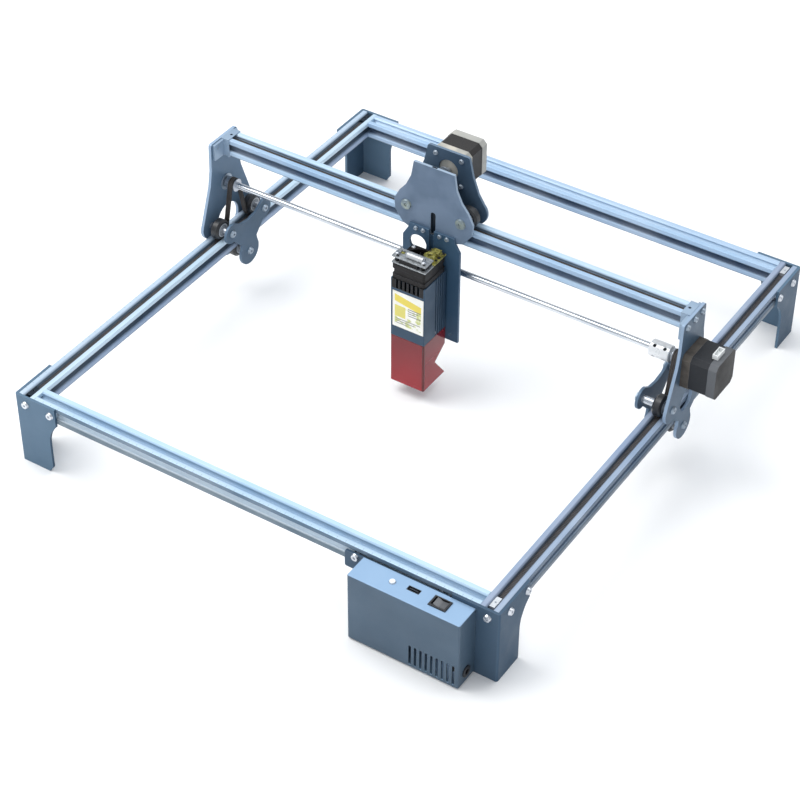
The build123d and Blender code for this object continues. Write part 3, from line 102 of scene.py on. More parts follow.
class Paint:
    """One procedural material, with short calls for the nodes it is made of."""

    def __init__(self, name):
        self.mat = bpy.data.materials.new(name)
        self.mat.use_nodes = True
        self.tree = self.mat.node_tree
        self.tree.nodes.clear()
        output = self.add("ShaderNodeOutputMaterial")
        self.shader = self.add("ShaderNodeBsdfPrincipled")
        self.tree.links.new(self.shader.outputs[0], output.inputs["Surface"])
        self.place = self.add("ShaderNodeTexCoord").outputs["Object"]
        split = self.add("ShaderNodeSeparateXYZ")
        self.tree.links.new(self.place, split.inputs[0])
        self.x, self.y, self.z = split.outputs
        geometry = self.add("ShaderNodeNewGeometry")
        self.normal = geometry.outputs["Normal"]
        turned = self.add("ShaderNodeSeparateXYZ")
        self.tree.links.new(self.normal, turned.inputs[0])
        self.facing = turned.outputs

    def add(self, kind, **settings):
        """Adds a shader node."""
        node = self.tree.nodes.new(kind)
        for key, value in settings.items():
            setattr(node, key, value)
        return node

    def put(self, socket, value):
        """Links a socket, or sets a constant, on an input."""
        if isinstance(value, bpy.types.NodeSocket):
            self.tree.links.new(value, socket)
        else:
            socket.default_value = value

    def set(self, **inputs):
        """Sets inputs of the principled shader by name."""
        for key, value in inputs.items():
            self.put(self.shader.inputs[key.replace("_", " ")], value)

    def math(self, operation, a, b=0.0, clamp=False):
        node = self.add("ShaderNodeMath", operation=operation, use_clamp=clamp)
        self.put(node.inputs[0], a)
        self.put(node.inputs[1], b)
        return node.outputs[0]

    def mix(self, share, a, b, blend="MIX"):
        node = self.add("ShaderNodeMix", data_type="RGBA", blend_type=blend)
        self.put(node.inputs[0], share)
        self.put(node.inputs[6], a)
        self.put(node.inputs[7], b)
        return node.outputs[2]

    def both(self, a, b):
        """The product of two values, which for masks is 1 only where both are 1."""
        return self.math("MULTIPLY", a, b)

    def above(self, value, limit):
        return self.math("GREATER_THAN", value, limit)

    def below(self, value, limit):
        return self.math("LESS_THAN", value, limit)

    def span(self, value, low, high, to_low=0.0, to_high=1.0):
        """Maps value from low..high to to_low..to_high, held at the ends."""
        node = self.add("ShaderNodeMapRange")
        for socket, given in zip(node.inputs[:5], (value, low, high, to_low, to_high)):
            self.put(socket, given)
        return node.outputs[0]

    def noise(self, scale, detail=3.0, stretch=(1, 1, 1), shift=0.0):
        """Fractal noise over the object, stretched along its axes and shifted."""
        mapping = self.add("ShaderNodeMapping")
        self.put(mapping.inputs["Vector"], self.place)
        mapping.inputs["Scale"].default_value = stretch
        mapping.inputs["Location"].default_value = (shift, shift * 0.7, -shift)
        node = self.add("ShaderNodeTexNoise")
        self.put(node.inputs["Vector"], mapping.outputs[0])
        node.inputs["Scale"].default_value = scale
        node.inputs["Detail"].default_value = detail
        return node.outputs["Fac"]

    def edge(self, radius):
        """The rounded-edge normal, and a mask that is 1 on sharp edges and 0 on flats."""
        bevel = self.add("ShaderNodeBevel", samples=4)
        bevel.inputs["Radius"].default_value = radius
        dot = self.add("ShaderNodeVectorMath", operation="DOT_PRODUCT")
        self.put(dot.inputs[0], bevel.outputs[0])
        self.put(dot.inputs[1], self.normal)
        return bevel.outputs[0], self.span(dot.outputs["Value"], 1.0, 0.86)

    def bump(self, height, strength, distance, normal=None):
        """Bends the shading normal by a height field."""
        node = self.add("ShaderNodeBump")
        node.inputs["Strength"].default_value = strength
        node.inputs["Distance"].default_value = distance
        self.put(node.inputs["Height"], height)
        if normal is not None:
            self.put(node.inputs["Normal"], normal)
        self.put(self.shader.inputs["Normal"], node.outputs[0])

    def band(self, value, low, high):
        """1 where value lies between low and high, else 0."""
        return self.both(self.above(value, low), self.below(value, high))

    def radius(self, centre, axis):
        """The distance from the line through centre along axis x, y or z."""
        squares = []
        for name, socket, at in zip("xyz", (self.x, self.y, self.z), centre):
            if name != axis:
                offset = self.math("SUBTRACT", socket, at)
                squares.append(self.both(offset, offset))
        return self.math("SQRT", self.math("ADD", *squares))


def metal(name, colour, light, metallic, rough, grain=(1, 1, 1), grain_scale=900, bump=0.12,
          edge=0.0005, wear=0.5, colouring=None, rubbed="c9d6e4", specular=0.5):
    """Painted, anodised or bare metal: mottled colour, fine grain, and edges rubbed lighter."""
    p = Paint(name)
    base = p.mix(p.span(p.noise(14, 4), 0.35, 0.65), rgb(colour), rgb(light))
    streaks = p.noise(grain_scale, 3, grain)
    base = p.mix(p.span(streaks, 0.3, 0.7, 0.0, 0.16), base, rgb(light))
    if colouring:
        base = colouring(p, base)
    normal, rim = p.edge(edge)
    rub = p.math("MULTIPLY", rim, p.span(p.noise(260, 4, shift=3.1), 0.42, 0.66, 0.15, wear), True)
    base = p.mix(rub, base, rgb(rubbed))
    smudge = p.noise(38, 5, shift=1.7)
    p.set(Base_Color=base, Metallic=metallic,
          Roughness=p.span(smudge, 0.3, 0.7, rough - 0.06, rough + 0.08),
          Specular_IOR_Level=specular)
    p.bump(streaks, bump, 0.0002, normal)
    return p.mat


def plastic(name, colour, light, rough, bump=0.1, coat=0.0, edge=0.0004, colouring=None, specular=0.5):
    """Moulded plastic with a fine spark-eroded texture."""
    p = Paint(name)
    base = p.mix(p.span(p.noise(60, 4), 0.35, 0.65), rgb(colour), rgb(light))
    if colouring:
        base = colouring(p, base)
    normal, rim = p.edge(edge)
    base = p.mix(p.math("MULTIPLY", rim, 0.25), base, rgb("8f969d"))
    worn = p.noise(120, 4, shift=2)
    p.set(Base_Color=base, Roughness=p.span(worn, 0.3, 0.7, rough - 0.05, rough + 0.07),
          Coat_Weight=coat, Specular_IOR_Level=specular)
    p.bump(p.noise(2400, 2), bump, 0.00015, normal)
    return p.mat


def dress(material, *names):
    """Gives CAD nodes their material."""
    for name in names:
        mesh = NODES[name].data
        mesh.materials.clear()
        mesh.materials.append(material)


# ---------------------------------------------------------------- rails
SLOT_SHADE = (0.0097, 0.0082)
FOOT_SHADE = (-0.0084, -0.0092)


def rail_paint(name, node, along, outer_side, top, outer, inner, foot, ticks=None):
    """Anodised extrusion with die lines along x or y.

    top holds the colours of the top's inner lip, slot and outer lip; outer and inner hold
    the colours of the upper lip, slot and lower lip of the two sides. These tones are painted
    light and shade: lit lips and slots painted pale, shaded ones painted dark. foot is the
    painted shade along the bottom edge. SLOT_SHADE and FOOT_SHADE are the offsets from the
    rail's middle over which the slot's painted tone and the painted foot shade set in.
    """
    grain = (1, 0.012, 1) if along == "y" else (0.012, 1, 1)
    low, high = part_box(node)
    centre = (low + high) / 2
    across_socket, across_centre = ("x", centre.x) if along == "y" else ("y", centre.y)

    def colouring(p, _):
        aside = p.math("SUBTRACT", getattr(p, across_socket), across_centre)
        aside = p.both(aside, outer_side)
        rise = p.math("SUBTRACT", p.z, centre.z)
        reach = p.math("MAXIMUM", p.math("ABSOLUTE", aside), p.math("ABSOLUTE", rise))
        end = p.math("ABSOLUTE", p.facing["xyz".index(along)])
        deep = p.both(p.span(reach, *SLOT_SHADE), p.below(end, 0.5))
        on_top = p.above(rise, p.math("ABSOLUTE", aside))
        is_outer = p.above(aside, 0.0)
        is_lower = p.math("SUBTRACT", 1.0, p.above(rise, 0.0))

        def face(share, colours):
            first_lip, slot, second_lip = (rgb(code) for code in colours)
            return p.mix(deep, p.mix(share, first_lip, second_lip), slot)

        # Painted light and shade: each lip and slot takes the tone of how it is lit.
        sides = p.mix(is_outer, face(is_lower, inner), face(is_lower, outer))
        shade = p.mix(on_top, sides, face(is_outer, top))
        # Painted shade along the bottom edge.
        shade = p.mix(p.span(rise, *FOOT_SHADE, 0.0, 0.85), shade, rgb(foot))
        shade = p.mix(p.span(p.noise(14, 4), 0.35, 0.65, 0.0, 0.14), shade, rgb("f2f7fb"))
        shade = p.mix(p.span(p.noise(500, 3, grain, 2.2), 0.4, 0.62, 0.0, 0.1), shade, rgb("5d6e80"))
        return ticks(p, shade) if ticks else shade

    return metal(name, top[0], top[2], metallic=0.15, rough=0.36, grain=grain, grain_scale=700,
                 bump=0.18, wear=0.3, colouring=colouring, rubbed="e4edf5", specular=0.3)


def ruler(along, start, outer, side):
    """Faint scale marks every five and ten millimetres on a rail's outer top band."""

    def marks(p, base):
        run = p.y if along == "y" else p.x
        across = p.x if along == "y" else p.y
        here = p.math("ADD", run, 1.0 - start)
        depth = p.both(p.math("SUBTRACT", across, outer), side)
        on_top = p.above(p.facing[2], 0.9)
        shown = 0.0
        for pitch, reach, width in ((0.005, 0.0016, 0.0004), (0.010, 0.0030, 0.0007)):
            phase = p.math("MODULO", here, pitch)
            line = p.both(p.below(phase, width), p.band(depth, 0.0004, reach))
            shown = p.math("MAXIMUM", shown, line)
        worn = p.span(p.noise(700, 2), 0.2, 0.5, 0.12, 0.4)
        shown = p.both(p.both(shown, on_top), worn)
        return p.mix(shown, base, rgb("5a6c80"))

    return marks


left_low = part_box("rail_left")[0]
front_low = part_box("rail_front")[0]
# Rail face tones, painted light and shade: lit lips and slots pale, shaded ones dark; the last colour
# is the painted shade of the foot.
PLAIN_SIDE = ("7c97b1", "4f6781", "7c97b1")
dress(rail_paint("rail_left_paint", "rail_left", "y", -1, ("b6cee0", "5c7289", "b1c5d9"), PLAIN_SIDE,
                 ("bbd3e6", "415973", "849ab8"), "405368",
                 ruler("y", left_low.y, left_low.x, 1)), "rail_left")
dress(rail_paint("rail_front_paint", "rail_front", "x", -1, ("b1cfe5", "9abad5", "adc8de"),
                 ("526c82", "e4f1fb", "5a6d7a"), PLAIN_SIDE, "526474",
                 ruler("x", front_low.x, front_low.y, 1)), "rail_front")
dress(rail_paint("rail_right_paint", "rail_right", "y", 1, ("8a9ab4", "4e5f77", "8b9eb7"),
                 ("32506d", "879cb3", "536373"), PLAIN_SIDE, "445569"), "rail_right")
dress(rail_paint("rail_back_paint", "rail_back", "x", 1, ("9cbad8", "b9d2e8", "a4bdd7"), PLAIN_SIDE,
                 ("9cbad8", "415a79", "96b0cc"), "506277"), "rail_back")
dress(rail_paint("beam_paint", "gantry_beam", "x", 1, ("93b0cd", "657c94", "b1cbe0"), PLAIN_SIDE,
                 ("93b0cd", "4a6381", "a6c3de"), "506679"), "gantry_beam")

# ---------------------------------------------------------------- sheet metal
def edge_highlights(axis, colour, share):
    """Painted highlights on the cut edges of a flat plate whose broad faces look along axis 0, 1 or 2.
    """

    def colouring(p, base):
        broad = p.math("ABSOLUTE", p.facing[axis])
        # Painted highlight on the edges, where the broad faces turn away.
        return p.mix(p.span(broad, 0.5, 0.3, 0.0, share), base, rgb(colour))

    return colouring


def plate(name, colour, light, axis, edges, share):
    """Painted sheet with painted highlights on its cut edges."""
    return metal(name, colour, light, metallic=0.15, rough=0.42, grain_scale=1900, bump=0.22,
                 colouring=edge_highlights(axis, edges, share), rubbed="a9bccf", specular=0.22)


def leg_painted_shade(p, base):
    """Painted shade: the legs' sides are painted darker than their fronts, and the front right leg's
    front is painted darker where the control box shades it.
    """
    sides = p.span(p.math("ABSOLUTE", p.facing[0]), 0.4, 0.6)
    base = p.mix(sides, base, p.mix(p.noise(30, 3), rgb("324a60"), rgb("40586e")))
    # Painted shade on the front right leg's front, where the control box shades it.
    near_right = p.both(p.above(p.x, 0.0), p.below(p.y, 0.0))
    fronts = p.both(near_right, p.math("SUBTRACT", 1.0, sides))
    return p.mix(p.both(fronts, 0.8), base, rgb("3a4e62"))


def outer_plate_painted_light(p, base):
    """Painted light: the left plate is painted paler, offsetting the shade the beam casts on its inner
    face; both have painted highlights on their cut edges.
    """
    base = p.mix(p.both(p.below(p.x, 0.0), 0.85), base, rgb("627a92"))
    return edge_highlights(0, "a3b9d2", 0.7)(p, base)


dress(
    metal("leg_paint", "526b80", "5a7389", metallic=0.12, rough=0.44, grain_scale=1900, bump=0.22,
          edge=0.0006, wear=0.25, colouring=leg_painted_shade, rubbed="a9bccf", specular=0.2),
    "leg_front_left", "leg_front_right", "leg_back_left", "leg_back_right", "box_base",
)
dress(
    metal("outer_plate_paint", "44586d", "506579", metallic=0.15, rough=0.42, grain_scale=1900,
          bump=0.22, colouring=outer_plate_painted_light, rubbed="a9bccf", specular=0.22),
    "y_plate_outer_left", "y_plate_outer_right",
)
dress(plate("inner_plate_paint", "3f5569", "4a6076", 0, "6c8299", 0.5),
      "y_plate_inner_left", "y_plate_inner_right")
dress(
    metal("bracket_end_paint", "7d93aa", "92a7bc", metallic=0.25, rough=0.38, grain_scale=1700,
          bump=0.2),
    "beam_brackets",
)
dress(plate("rear_plate_paint", "3c5064", "485d72", 1, "7f94aa", 0.5), "x_plate_rear")
dress(plate("bracket_paint", "34506a", "3f5970", 1, "5d748b", 0.5), "laser_bracket")
FRONT_PLATE_LOW, FRONT_PLATE_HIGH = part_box("x_plate_front")
GROOVE_FLOOR = FRONT_PLATE_LOW.y + 0.0005
GROOVE_HALF_WIDTH = 0.0031


def front_plate(p, base):
    """Painted highlights on the cut edges, a paler middle, and painted shade in the groove."""
    base = p.mix(p.span(p.noise(22, 3, shift=4.2), 0.42, 0.6, 0.0, 0.45), base, rgb("7d8fa6"))
    base = edge_highlights(1, "a9bccf", 0.65)(p, base)
    middle = (FRONT_PLATE_LOW.x + FRONT_PLATE_HIGH.x) / 2
    near = p.math("ABSOLUTE", p.math("SUBTRACT", p.x, middle))
    # The groove is painted near-black: painted shade standing for the shade in the slot.
    sunk = p.both(p.above(p.y, GROOVE_FLOOR), p.below(near, GROOVE_HALF_WIDTH))
    ahead = p.below(p.y, FRONT_PLATE_HIGH.y - 0.0002)
    return p.mix(p.both(sunk, ahead), base, rgb("0e1a26"))


dress(
    metal("front_plate_paint", "55677b", "607288", metallic=0.15, rough=0.42, grain_scale=1900,
          bump=0.22, colouring=front_plate, rubbed="a9bccf", specular=0.25),
    "x_plate_front",
)


def box_top(p, base):
    """Painted light: the cover's top is painted paler than its sides, as it catches more light."""
    up = p.span(p.facing[2], 0.5, 0.8, 0.0, 0.8)
    return p.mix(up, base, p.mix(p.noise(30, 3), rgb("8fb0d2"), rgb("9dbcdc")))


dress(
    metal("box_paint", "425668", "4a5f72", metallic=0.12, rough=0.43, grain_scale=1700, bump=0.25,
          edge=0.0006, wear=0.3, colouring=box_top, specular=0.4),
    "box_cover",
)

# ---------------------------------------------------------------- bright metal
dress(
    metal("screw_metal", "b9bec6", "d6dae0", metallic=0.9, rough=0.28, grain_scale=1500, bump=0.1,
          edge=0.0003, wear=0.3),
    "frame_screws", "slot_nuts",
)
dress(
    metal("dull_bolt_metal", "8391a0", "9ba8b5", metallic=0.7, rough=0.38, grain_scale=1500,
          bump=0.1, edge=0.0003, wear=0.3),
    "gantry_bolts",
)
EAR_BOLT_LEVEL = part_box("x_wheel_left")[0].z


def carriage_heads(p, base):
    """The two large flat heads on the front plate are painted a dull grey-green."""
    head = p.both(p.above(p.z, EAR_BOLT_LEVEL),
                  p.below(p.y, FRONT_PLATE_LOW.y + 0.0002))
    return p.mix(head, base, p.mix(p.span(p.noise(160, 3), 0.4, 0.6), rgb("7c8a92"), rgb("97a29c")))


dress(
    metal("carriage_bolt_metal", "8b97a4", "a6b0ba", metallic=0.6, rough=0.4, grain_scale=1500,
          bump=0.1, edge=0.0003, wear=0.3, colouring=carriage_heads),
    "x_carriage_bolts",
)


def clamp_sides(p, base):
    """The right belt's clamps are bright, the left belt's are dark."""
    return p.mix(p.below(p.x, 0.0), base, rgb("24303c"))


dress(
    metal("clamp_metal", "cdd3da", "e4e8ec", metallic=0.7, rough=0.3, grain_scale=1500, bump=0.1,
          edge=0.0003, wear=0.3, colouring=clamp_sides),
    "belt_clamps",
)
dress(
    metal("turned_metal", "a5abb4", "c6cbd2", metallic=0.9, rough=0.32, grain=(1, 12, 12),
          grain_scale=260, edge=0.0003, wear=0.3),
    "y_spacers", "x_spacers", "drive_pulleys", "x_pulley",
)
dress(
    metal("coupling_metal", "d9dde0", "f0f1f2", metallic=0.35, rough=0.3, grain=(1, 12, 12),
          grain_scale=260, bump=0.1, edge=0.0003, wear=0.3),
    "shaft_coupling",
)
dress(
    metal("rod_metal", "c2c9d2", "e2e6ea", metallic=0.95, rough=0.17, grain=(12, 1, 1),
          grain_scale=90, bump=0.04, edge=0.0002, wear=0.2),
    "drive_rods",
)
dress(
    metal("bearing_metal", "8d9cab", "a7b4c1", metallic=0.7, rough=0.36, bump=0.1, edge=0.0003,
          wear=0.4),
    "rod_bearing",
)
dress(
    metal("port_metal", "2b2d31", "44474c", metallic=0.8, rough=0.35, bump=0.1, edge=0.0002,
          wear=0.7),
    "usb_port",
)
dress(
    metal("barrel_metal", "a8874c", "c4a567", metallic=0.95, rough=0.28, grain=(1, 1, 30),
          grain_scale=200, bump=0.1, edge=0.0003, wear=0.3),
    "laser_barrel",
)

# ---------------------------------------------------------------- belts
BELT_PITCH = 0.002


def belt_paint(name, along, dark, light, crest_highlight):
    """Rubber belt: cords show as ribs across it, with painted highlights on the ribs' crests."""
    p = Paint(name)
    run = {"x": p.x, "y": p.y}[along]
    wave = p.math("SINE", p.both(run, 2 * math.pi / BELT_PITCH))
    base = p.mix(p.span(p.noise(180, 4), 0.35, 0.65), rgb(dark), rgb(light))
    # Painted highlight on each rib's crest.
    base = p.mix(p.span(wave, 0.2, 1.0, 0.0, 0.45), base, rgb(crest_highlight))
    p.set(Base_Color=base, Roughness=p.span(p.noise(90, 3), 0.3, 0.7, 0.62, 0.82))
    p.bump(wave, 0.6, 0.0004)
    return p.mat


dress(belt_paint("belt_paint_y", "y", "3b434b", "4c5660", "717d88"), "y_belts")
dress(belt_paint("belt_paint_x", "x", "2c2928", "3b3735", "625b56"), "gantry_belts")
dress(belt_paint("belt_paint_loop", "x", "3b434b", "4c5660", "717d88"), "x_belt_loop")

# ---------------------------------------------------------------- wheels
HUB_RADIUS = 0.00799
RACE_RADII = (0.0046, 0.0066)
for name in [n for n in NODES if "_wheel_" in n]:
    low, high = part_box(name)
    axle = "y" if name.startswith("x_") else "x"
    centre = (low + high) / 2

    def hubs(p, base, centre=centre, axle=axle):
        reach = p.radius(centre, axle)
        race = p.mix(p.band(reach, *RACE_RADII), rgb("c9cdd2"), rgb("8e949b"))
        return p.mix(p.below(reach, HUB_RADIUS), base, race)

    dress(
        plastic(name + "_paint", "1b1c1f", "26282c", rough=0.4, coat=0.15, colouring=hubs),
        name,
    )


# ---------------------------------------------------------------- motors
CAP = 0.009
SEAM = 0.00002
MOTOR_LENGTH = 0.038
LAMINATION = 0.0005


def motor_paint(name, node, axis, front, stack, cap, rear_face):
    """A stepper motor: front cap, black stator of stacked sheets, rear cap and dark rear face."""
    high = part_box(node)[1]
    index = "xyz".index(axis)
    start = high[index] - MOTOR_LENGTH

    def layers(p, base):
        run = (p.x, p.y, p.z)[index]
        depth = p.math("SUBTRACT", run, start)
        wave = p.math("SINE", p.both(run, 2 * math.pi / LAMINATION))
        sheets = p.mix(p.span(wave, -1, 1), rgb(stack[0]), rgb(stack[1]))
        blotch = p.span(p.noise(55, 4, shift=2.4), 0.4, 0.6)
        ahead = p.mix(blotch, rgb(front[0]), rgb(front[1]))
        behind = p.mix(blotch, rgb(rear_face[0]), rgb(rear_face[1]))
        base = p.mix(p.below(depth, CAP + SEAM), base, ahead)
        base = p.mix(p.band(depth, CAP + SEAM, MOTOR_LENGTH - CAP - SEAM), base, sheets)
        facing_back = p.both(p.above(depth, MOTOR_LENGTH - 0.0005),
                             p.above(p.facing[index], 0.6))
        return p.mix(facing_back, base, behind)

    dress(
        metal(name, cap[0], cap[1], metallic=0.2, rough=0.48, grain_scale=1400, bump=0.25,
              wear=0.3, colouring=layers, rubbed="a4a8ad", specular=0.2),
        node,
    )


motor_paint("y_motor_paint", "y_motor", "x", ("474340", "5c5751"), ("26282b", "3a3c40"),
            ("4b4d50", "63666a"), ("121112", "1f1d1d"))
motor_paint("x_motor_paint", "x_motor", "y", ("a4a49e", "bfbbb0"), ("2b2b2c", "3f3d3c"),
            ("9b9c99", "b8b6b0"), ("26272a", "3a3b3d"))
dress(
    plastic("connector_paint", "d9dcdc", "eceeee", rough=0.45),
    "y_motor_connector",
)

# ---------------------------------------------------------------- control box parts
black_plastic = plastic("black_plastic", "141518", "1d1f23", rough=0.42, bump=0.15)
dress(black_plastic, "power_inlet", "switch_housing", "fan_rotor")
dress(
    plastic("fan_plastic", "131112", "1f1c1d", rough=0.48, bump=0.15, specular=0.25),
    "fan_frame",
)
dress(
    plastic("rocker_plastic", "4a4c50", "5b5e62", rough=0.3, bump=0.08, coat=0.2),
    "switch_rocker",
)
dress(
    plastic("button_plastic", "dfe6ee", "f4f7fa", rough=0.25, bump=0.03, coat=0.3),
    "reset_button",
)


def tracks(p, base):
    """Copper tracks under the lacquer of a circuit board."""
    cells = p.add("ShaderNodeTexVoronoi", feature="DISTANCE_TO_EDGE", distance="MANHATTAN")
    p.put(cells.inputs["Vector"], p.place)
    cells.inputs["Scale"].default_value = 420
    return p.mix(p.span(cells.outputs["Distance"], 0.02, 0.05, 0.7, 0.0), base, rgb("3f8a4f"))


dress(
    plastic("board_lacquer", "0c4a26", "136034", rough=0.28, bump=0.05, coat=0.4, edge=0.0003,
            colouring=tracks),
    "control_board",
)

BOARDS_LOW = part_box("driver_board")[0]
LOWER_BOARD = BOARDS_LOW.z + 0.0016
UPPER_BOARD = LOWER_BOARD + 0.0076
BOARD = 0.0015
UPPER_BACK = BOARDS_LOW.y + 0.0160


def driver_parts(p, base):
    """Silver-edged boards with black parts between them, and yellow-green parts behind."""
    lower = p.band(p.z, LOWER_BOARD - 0.0001, LOWER_BOARD + BOARD + 0.0001)
    upper = p.band(p.z, UPPER_BOARD - 0.0001, UPPER_BOARD + BOARD + 0.0001)
    between = p.band(p.z, LOWER_BOARD + BOARD + 0.0001, UPPER_BOARD - 0.0001)
    behind = p.above(p.y, UPPER_BACK + 0.0004)
    mottle = p.span(p.noise(420, 3, shift=1.1), 0.4, 0.6)
    gold = p.mix(mottle, rgb("6d6a2c"), rgb("b9b264"))
    base = p.mix(p.math("MAXIMUM", lower, upper), base, p.mix(mottle, rgb("85898c"), rgb("a9adb0")))
    base = p.mix(between, base, rgb("0c0c0e"))
    base = p.mix(p.both(behind, p.math("MAXIMUM", between, lower)), base, gold)
    return p.mix(p.below(p.z, LOWER_BOARD - 0.0001), base, rgb("2a2a2c"))


dress(
    metal("driver_paint", "a8abae", "c7cacc", metallic=0.5, rough=0.36, edge=0.0003, wear=0.6,
          colouring=driver_parts),
    "driver_board",
)

# ---------------------------------------------------------------- laser head
HEAD_FRONT_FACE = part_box("heat_sink")[0].y
OUTLET_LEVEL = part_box("heat_sink")[1].z - 0.0115
OUTLET_DEPTH = 0.0030
OUTLET_HALF_WIDTH = 0.0196
HEAD_MID_X = sum(v.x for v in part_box("heat_sink")) / 2


def outlet(p, base):
    """Painted shade: the air outlet's fins at the front's top are painted near-black, for the shade
    inside the outlet.
    """
    fins = p.both(p.above(p.z, OUTLET_LEVEL),
                  p.below(p.y, HEAD_FRONT_FACE + OUTLET_DEPTH))
    inside = p.band(p.math("ABSOLUTE", p.math("SUBTRACT", p.x, HEAD_MID_X)), -1, OUTLET_HALF_WIDTH)
    return p.mix(p.both(fins, inside), base, rgb("151314"))


dress(
    metal("head_paint", "2a4055", "385066", metallic=0.3, rough=0.42, grain=(1, 1, 0.03),
          grain_scale=800, bump=0.15, edge=0.0006, wear=0.35, colouring=outlet, rubbed="7f93a5",
          specular=0.4),
    "heat_sink",
)
dress(
    metal("knob_paint", "1a1c20", "2a2d33", metallic=0.6, rough=0.35, bump=0.2, edge=0.0003),
    "clamp_knob",
)


def label_print(p, base):
    """A generic printed label: a pale ground with yellow panels and plain grey bars."""
    low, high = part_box("head_label")
    u = p.span(p.x, low.x, high.x)
    v = p.span(p.z, low.z, high.z)

    def panel(a, b, c, d):
        return p.both(p.band(u, a, b), p.band(v, c, d))

    slant = p.math("ADD", v, p.both(u, 0.16))
    band = p.both(p.band(slant, 0.74, 0.94), p.band(u, 0.07, 0.93))
    base = p.mix(band, base, rgb("e3cf52"))
    blots = p.both(p.span(p.noise(150, 3, shift=5.5), 0.48, 0.56),
                   panel(0.07, 0.93, 0.08, 0.6))
    base = p.mix(p.both(blots, 0.8), base, rgb("b9c04e"))
    base = p.mix(panel(0.07, 0.42, 0.30, 0.62), base, rgb("d9cf6a"))
    for row in range(4):
        top = 0.62 - row * 0.06
        base = p.mix(panel(0.5, 0.92 - 0.08 * (row % 3), top - 0.022, top), base, rgb("70746f"))
    for row in range(3):
        top = 0.25 - row * 0.06
        base = p.mix(panel(0.1, 0.9 - 0.2 * row, top - 0.022, top), base, rgb("8a8c86"))
    return base


dress(
    plastic("label_film", "e9e8e0", "f3f2ec", rough=0.35, bump=0.02, coat=0.2, edge=0.0002,
            colouring=label_print),
    "head_label",
)

SHIELD_WALL = 0.0022
acrylic = Paint("shield_acrylic")
shield_low, shield_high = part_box("eye_shield")
tint = acrylic.mix(acrylic.span(acrylic.z, shield_low.z, shield_high.z), rgb("aa2630"), rgb("7d1822"))
corner = acrylic.both(acrylic.above(acrylic.x, shield_high.x - SHIELD_WALL),
                acrylic.below(acrylic.y, shield_low.y + SHIELD_WALL))
tint = acrylic.mix(acrylic.both(corner, 0.7), tint, rgb("4a1a1c"))
acrylic.set(Base_Color=tint, Roughness=0.08, IOR=1.49, Transmission_Weight=0.3, Coat_Weight=0.2,
      Coat_Roughness=0.04, Specular_IOR_Level=0.3)
acrylic.bump(acrylic.noise(300, 2), 0.03, 0.0002, acrylic.edge(0.0006)[0])
dress(acrylic.mat, "eye_shield")

# ---------------------------------------------------------------- small detail pieces
class Piece:
    """A mesh piece built in bmesh from solids placed on frames, and hung on a CAD body."""

    def __init__(self, name):
        self.name = name
        self.shape = bmesh.new()

    def prism(self, place, outline, height, taper=1.0):
        """A prism along the frame's z axis from a plan outline, its top scaled by taper."""
        rings = []
        for level, scale in ((0.0, 1.0), (height, taper)):
            rings.append([self.shape.verts.new(place @ Vector((u * scale, v * scale, level)))
                          for u, v in outline])
        bottom, top = rings
        count = len(outline)
        self.shape.faces.new(list(reversed(bottom)))
        self.shape.faces.new(top)
        for i in range(count):
            j = (i + 1) % count
            self.shape.faces.new((bottom[i], bottom[j], top[j], top[i]))

    def lathe(self, place, profile, steps=28):
        """A turned body from (radius, level) pairs, closed where the radius is 0."""
        rings = []
        for radius, level in profile:
            if radius == 0:
                rings.append([self.shape.verts.new(place @ Vector((0, 0, level)))])
            else:
                rings.append([
                    self.shape.verts.new(place @ Vector((
                        radius * math.cos(2 * math.pi * i / steps),
                        radius * math.sin(2 * math.pi * i / steps),
                        level,
                    ))) for i in range(steps)
                ])
        for low_ring, high_ring in zip(rings, rings[1:]):
            for i in range(steps):
                j = (i + 1) % steps
                corners = [low_ring[i % len(low_ring)], low_ring[j % len(low_ring)],
                           high_ring[j % len(high_ring)], high_ring[i % len(high_ring)]]
                unique = list(dict.fromkeys(corners))
                if len(unique) > 2:
                    self.shape.faces.new(unique)

    def finish(self, body, material, bevel=0.0):
        """Turns the shape into an object that rides on a body."""
        mesh = bpy.data.meshes.new(self.name)
        bmesh.ops.recalc_face_normals(self.shape, faces=self.shape.faces)
        self.shape.to_mesh(mesh)
        self.shape.free()
        mesh.materials.append(material)
        obj = bpy.data.objects.new(self.name, mesh)
        bpy.context.scene.collection.objects.link(obj)
        if bevel:
            rounding = obj.modifiers.new("rounding", "BEVEL")
            rounding.width = bevel
            rounding.segments = 2
            rounding.limit_method = "ANGLE"
        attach(obj, body)
        return obj


def place_at(point, axis):
    """A frame at point with its z axis along axis."""
    turned = Vector(axis).to_track_quat("Z", "Y").to_matrix().to_4x4()
    return Matrix.Translation(Vector(point)) @ turned


def rectangle(width, depth):
    """A rectangle's corners, centred on the origin."""
    u, v = width / 2, depth / 2
    return [(-u, -v), (u, -v), (u, v), (-u, v)]


def socket_screw(piece, point, axis, radius, height):
    """A button head with a hexagon socket sunk in it."""
    place = place_at(point, axis)
    piece.lathe(place, [(0, 0), (radius, 0), (radius, height * 0.35), (radius * 0.8, height * 0.85),
                        (radius * 0.5, height)])
    piece.lathe(place, [(radius * 0.5, height), (radius * 0.46, height * 0.5), (0, height * 0.45)], 6)


bright = metal("detail_screw_metal", "b9bec6", "dde0e4", metallic=0.9, rough=0.25,
               grain_scale=1500, bump=0.1, edge=0.0002, wear=0.3)
dark = metal("detail_dark_metal", "1d1e21", "303236", metallic=0.7, rough=0.35, grain_scale=1500,
             bump=0.1, edge=0.0002, wear=0.3)

UP = (0, 0, 1)

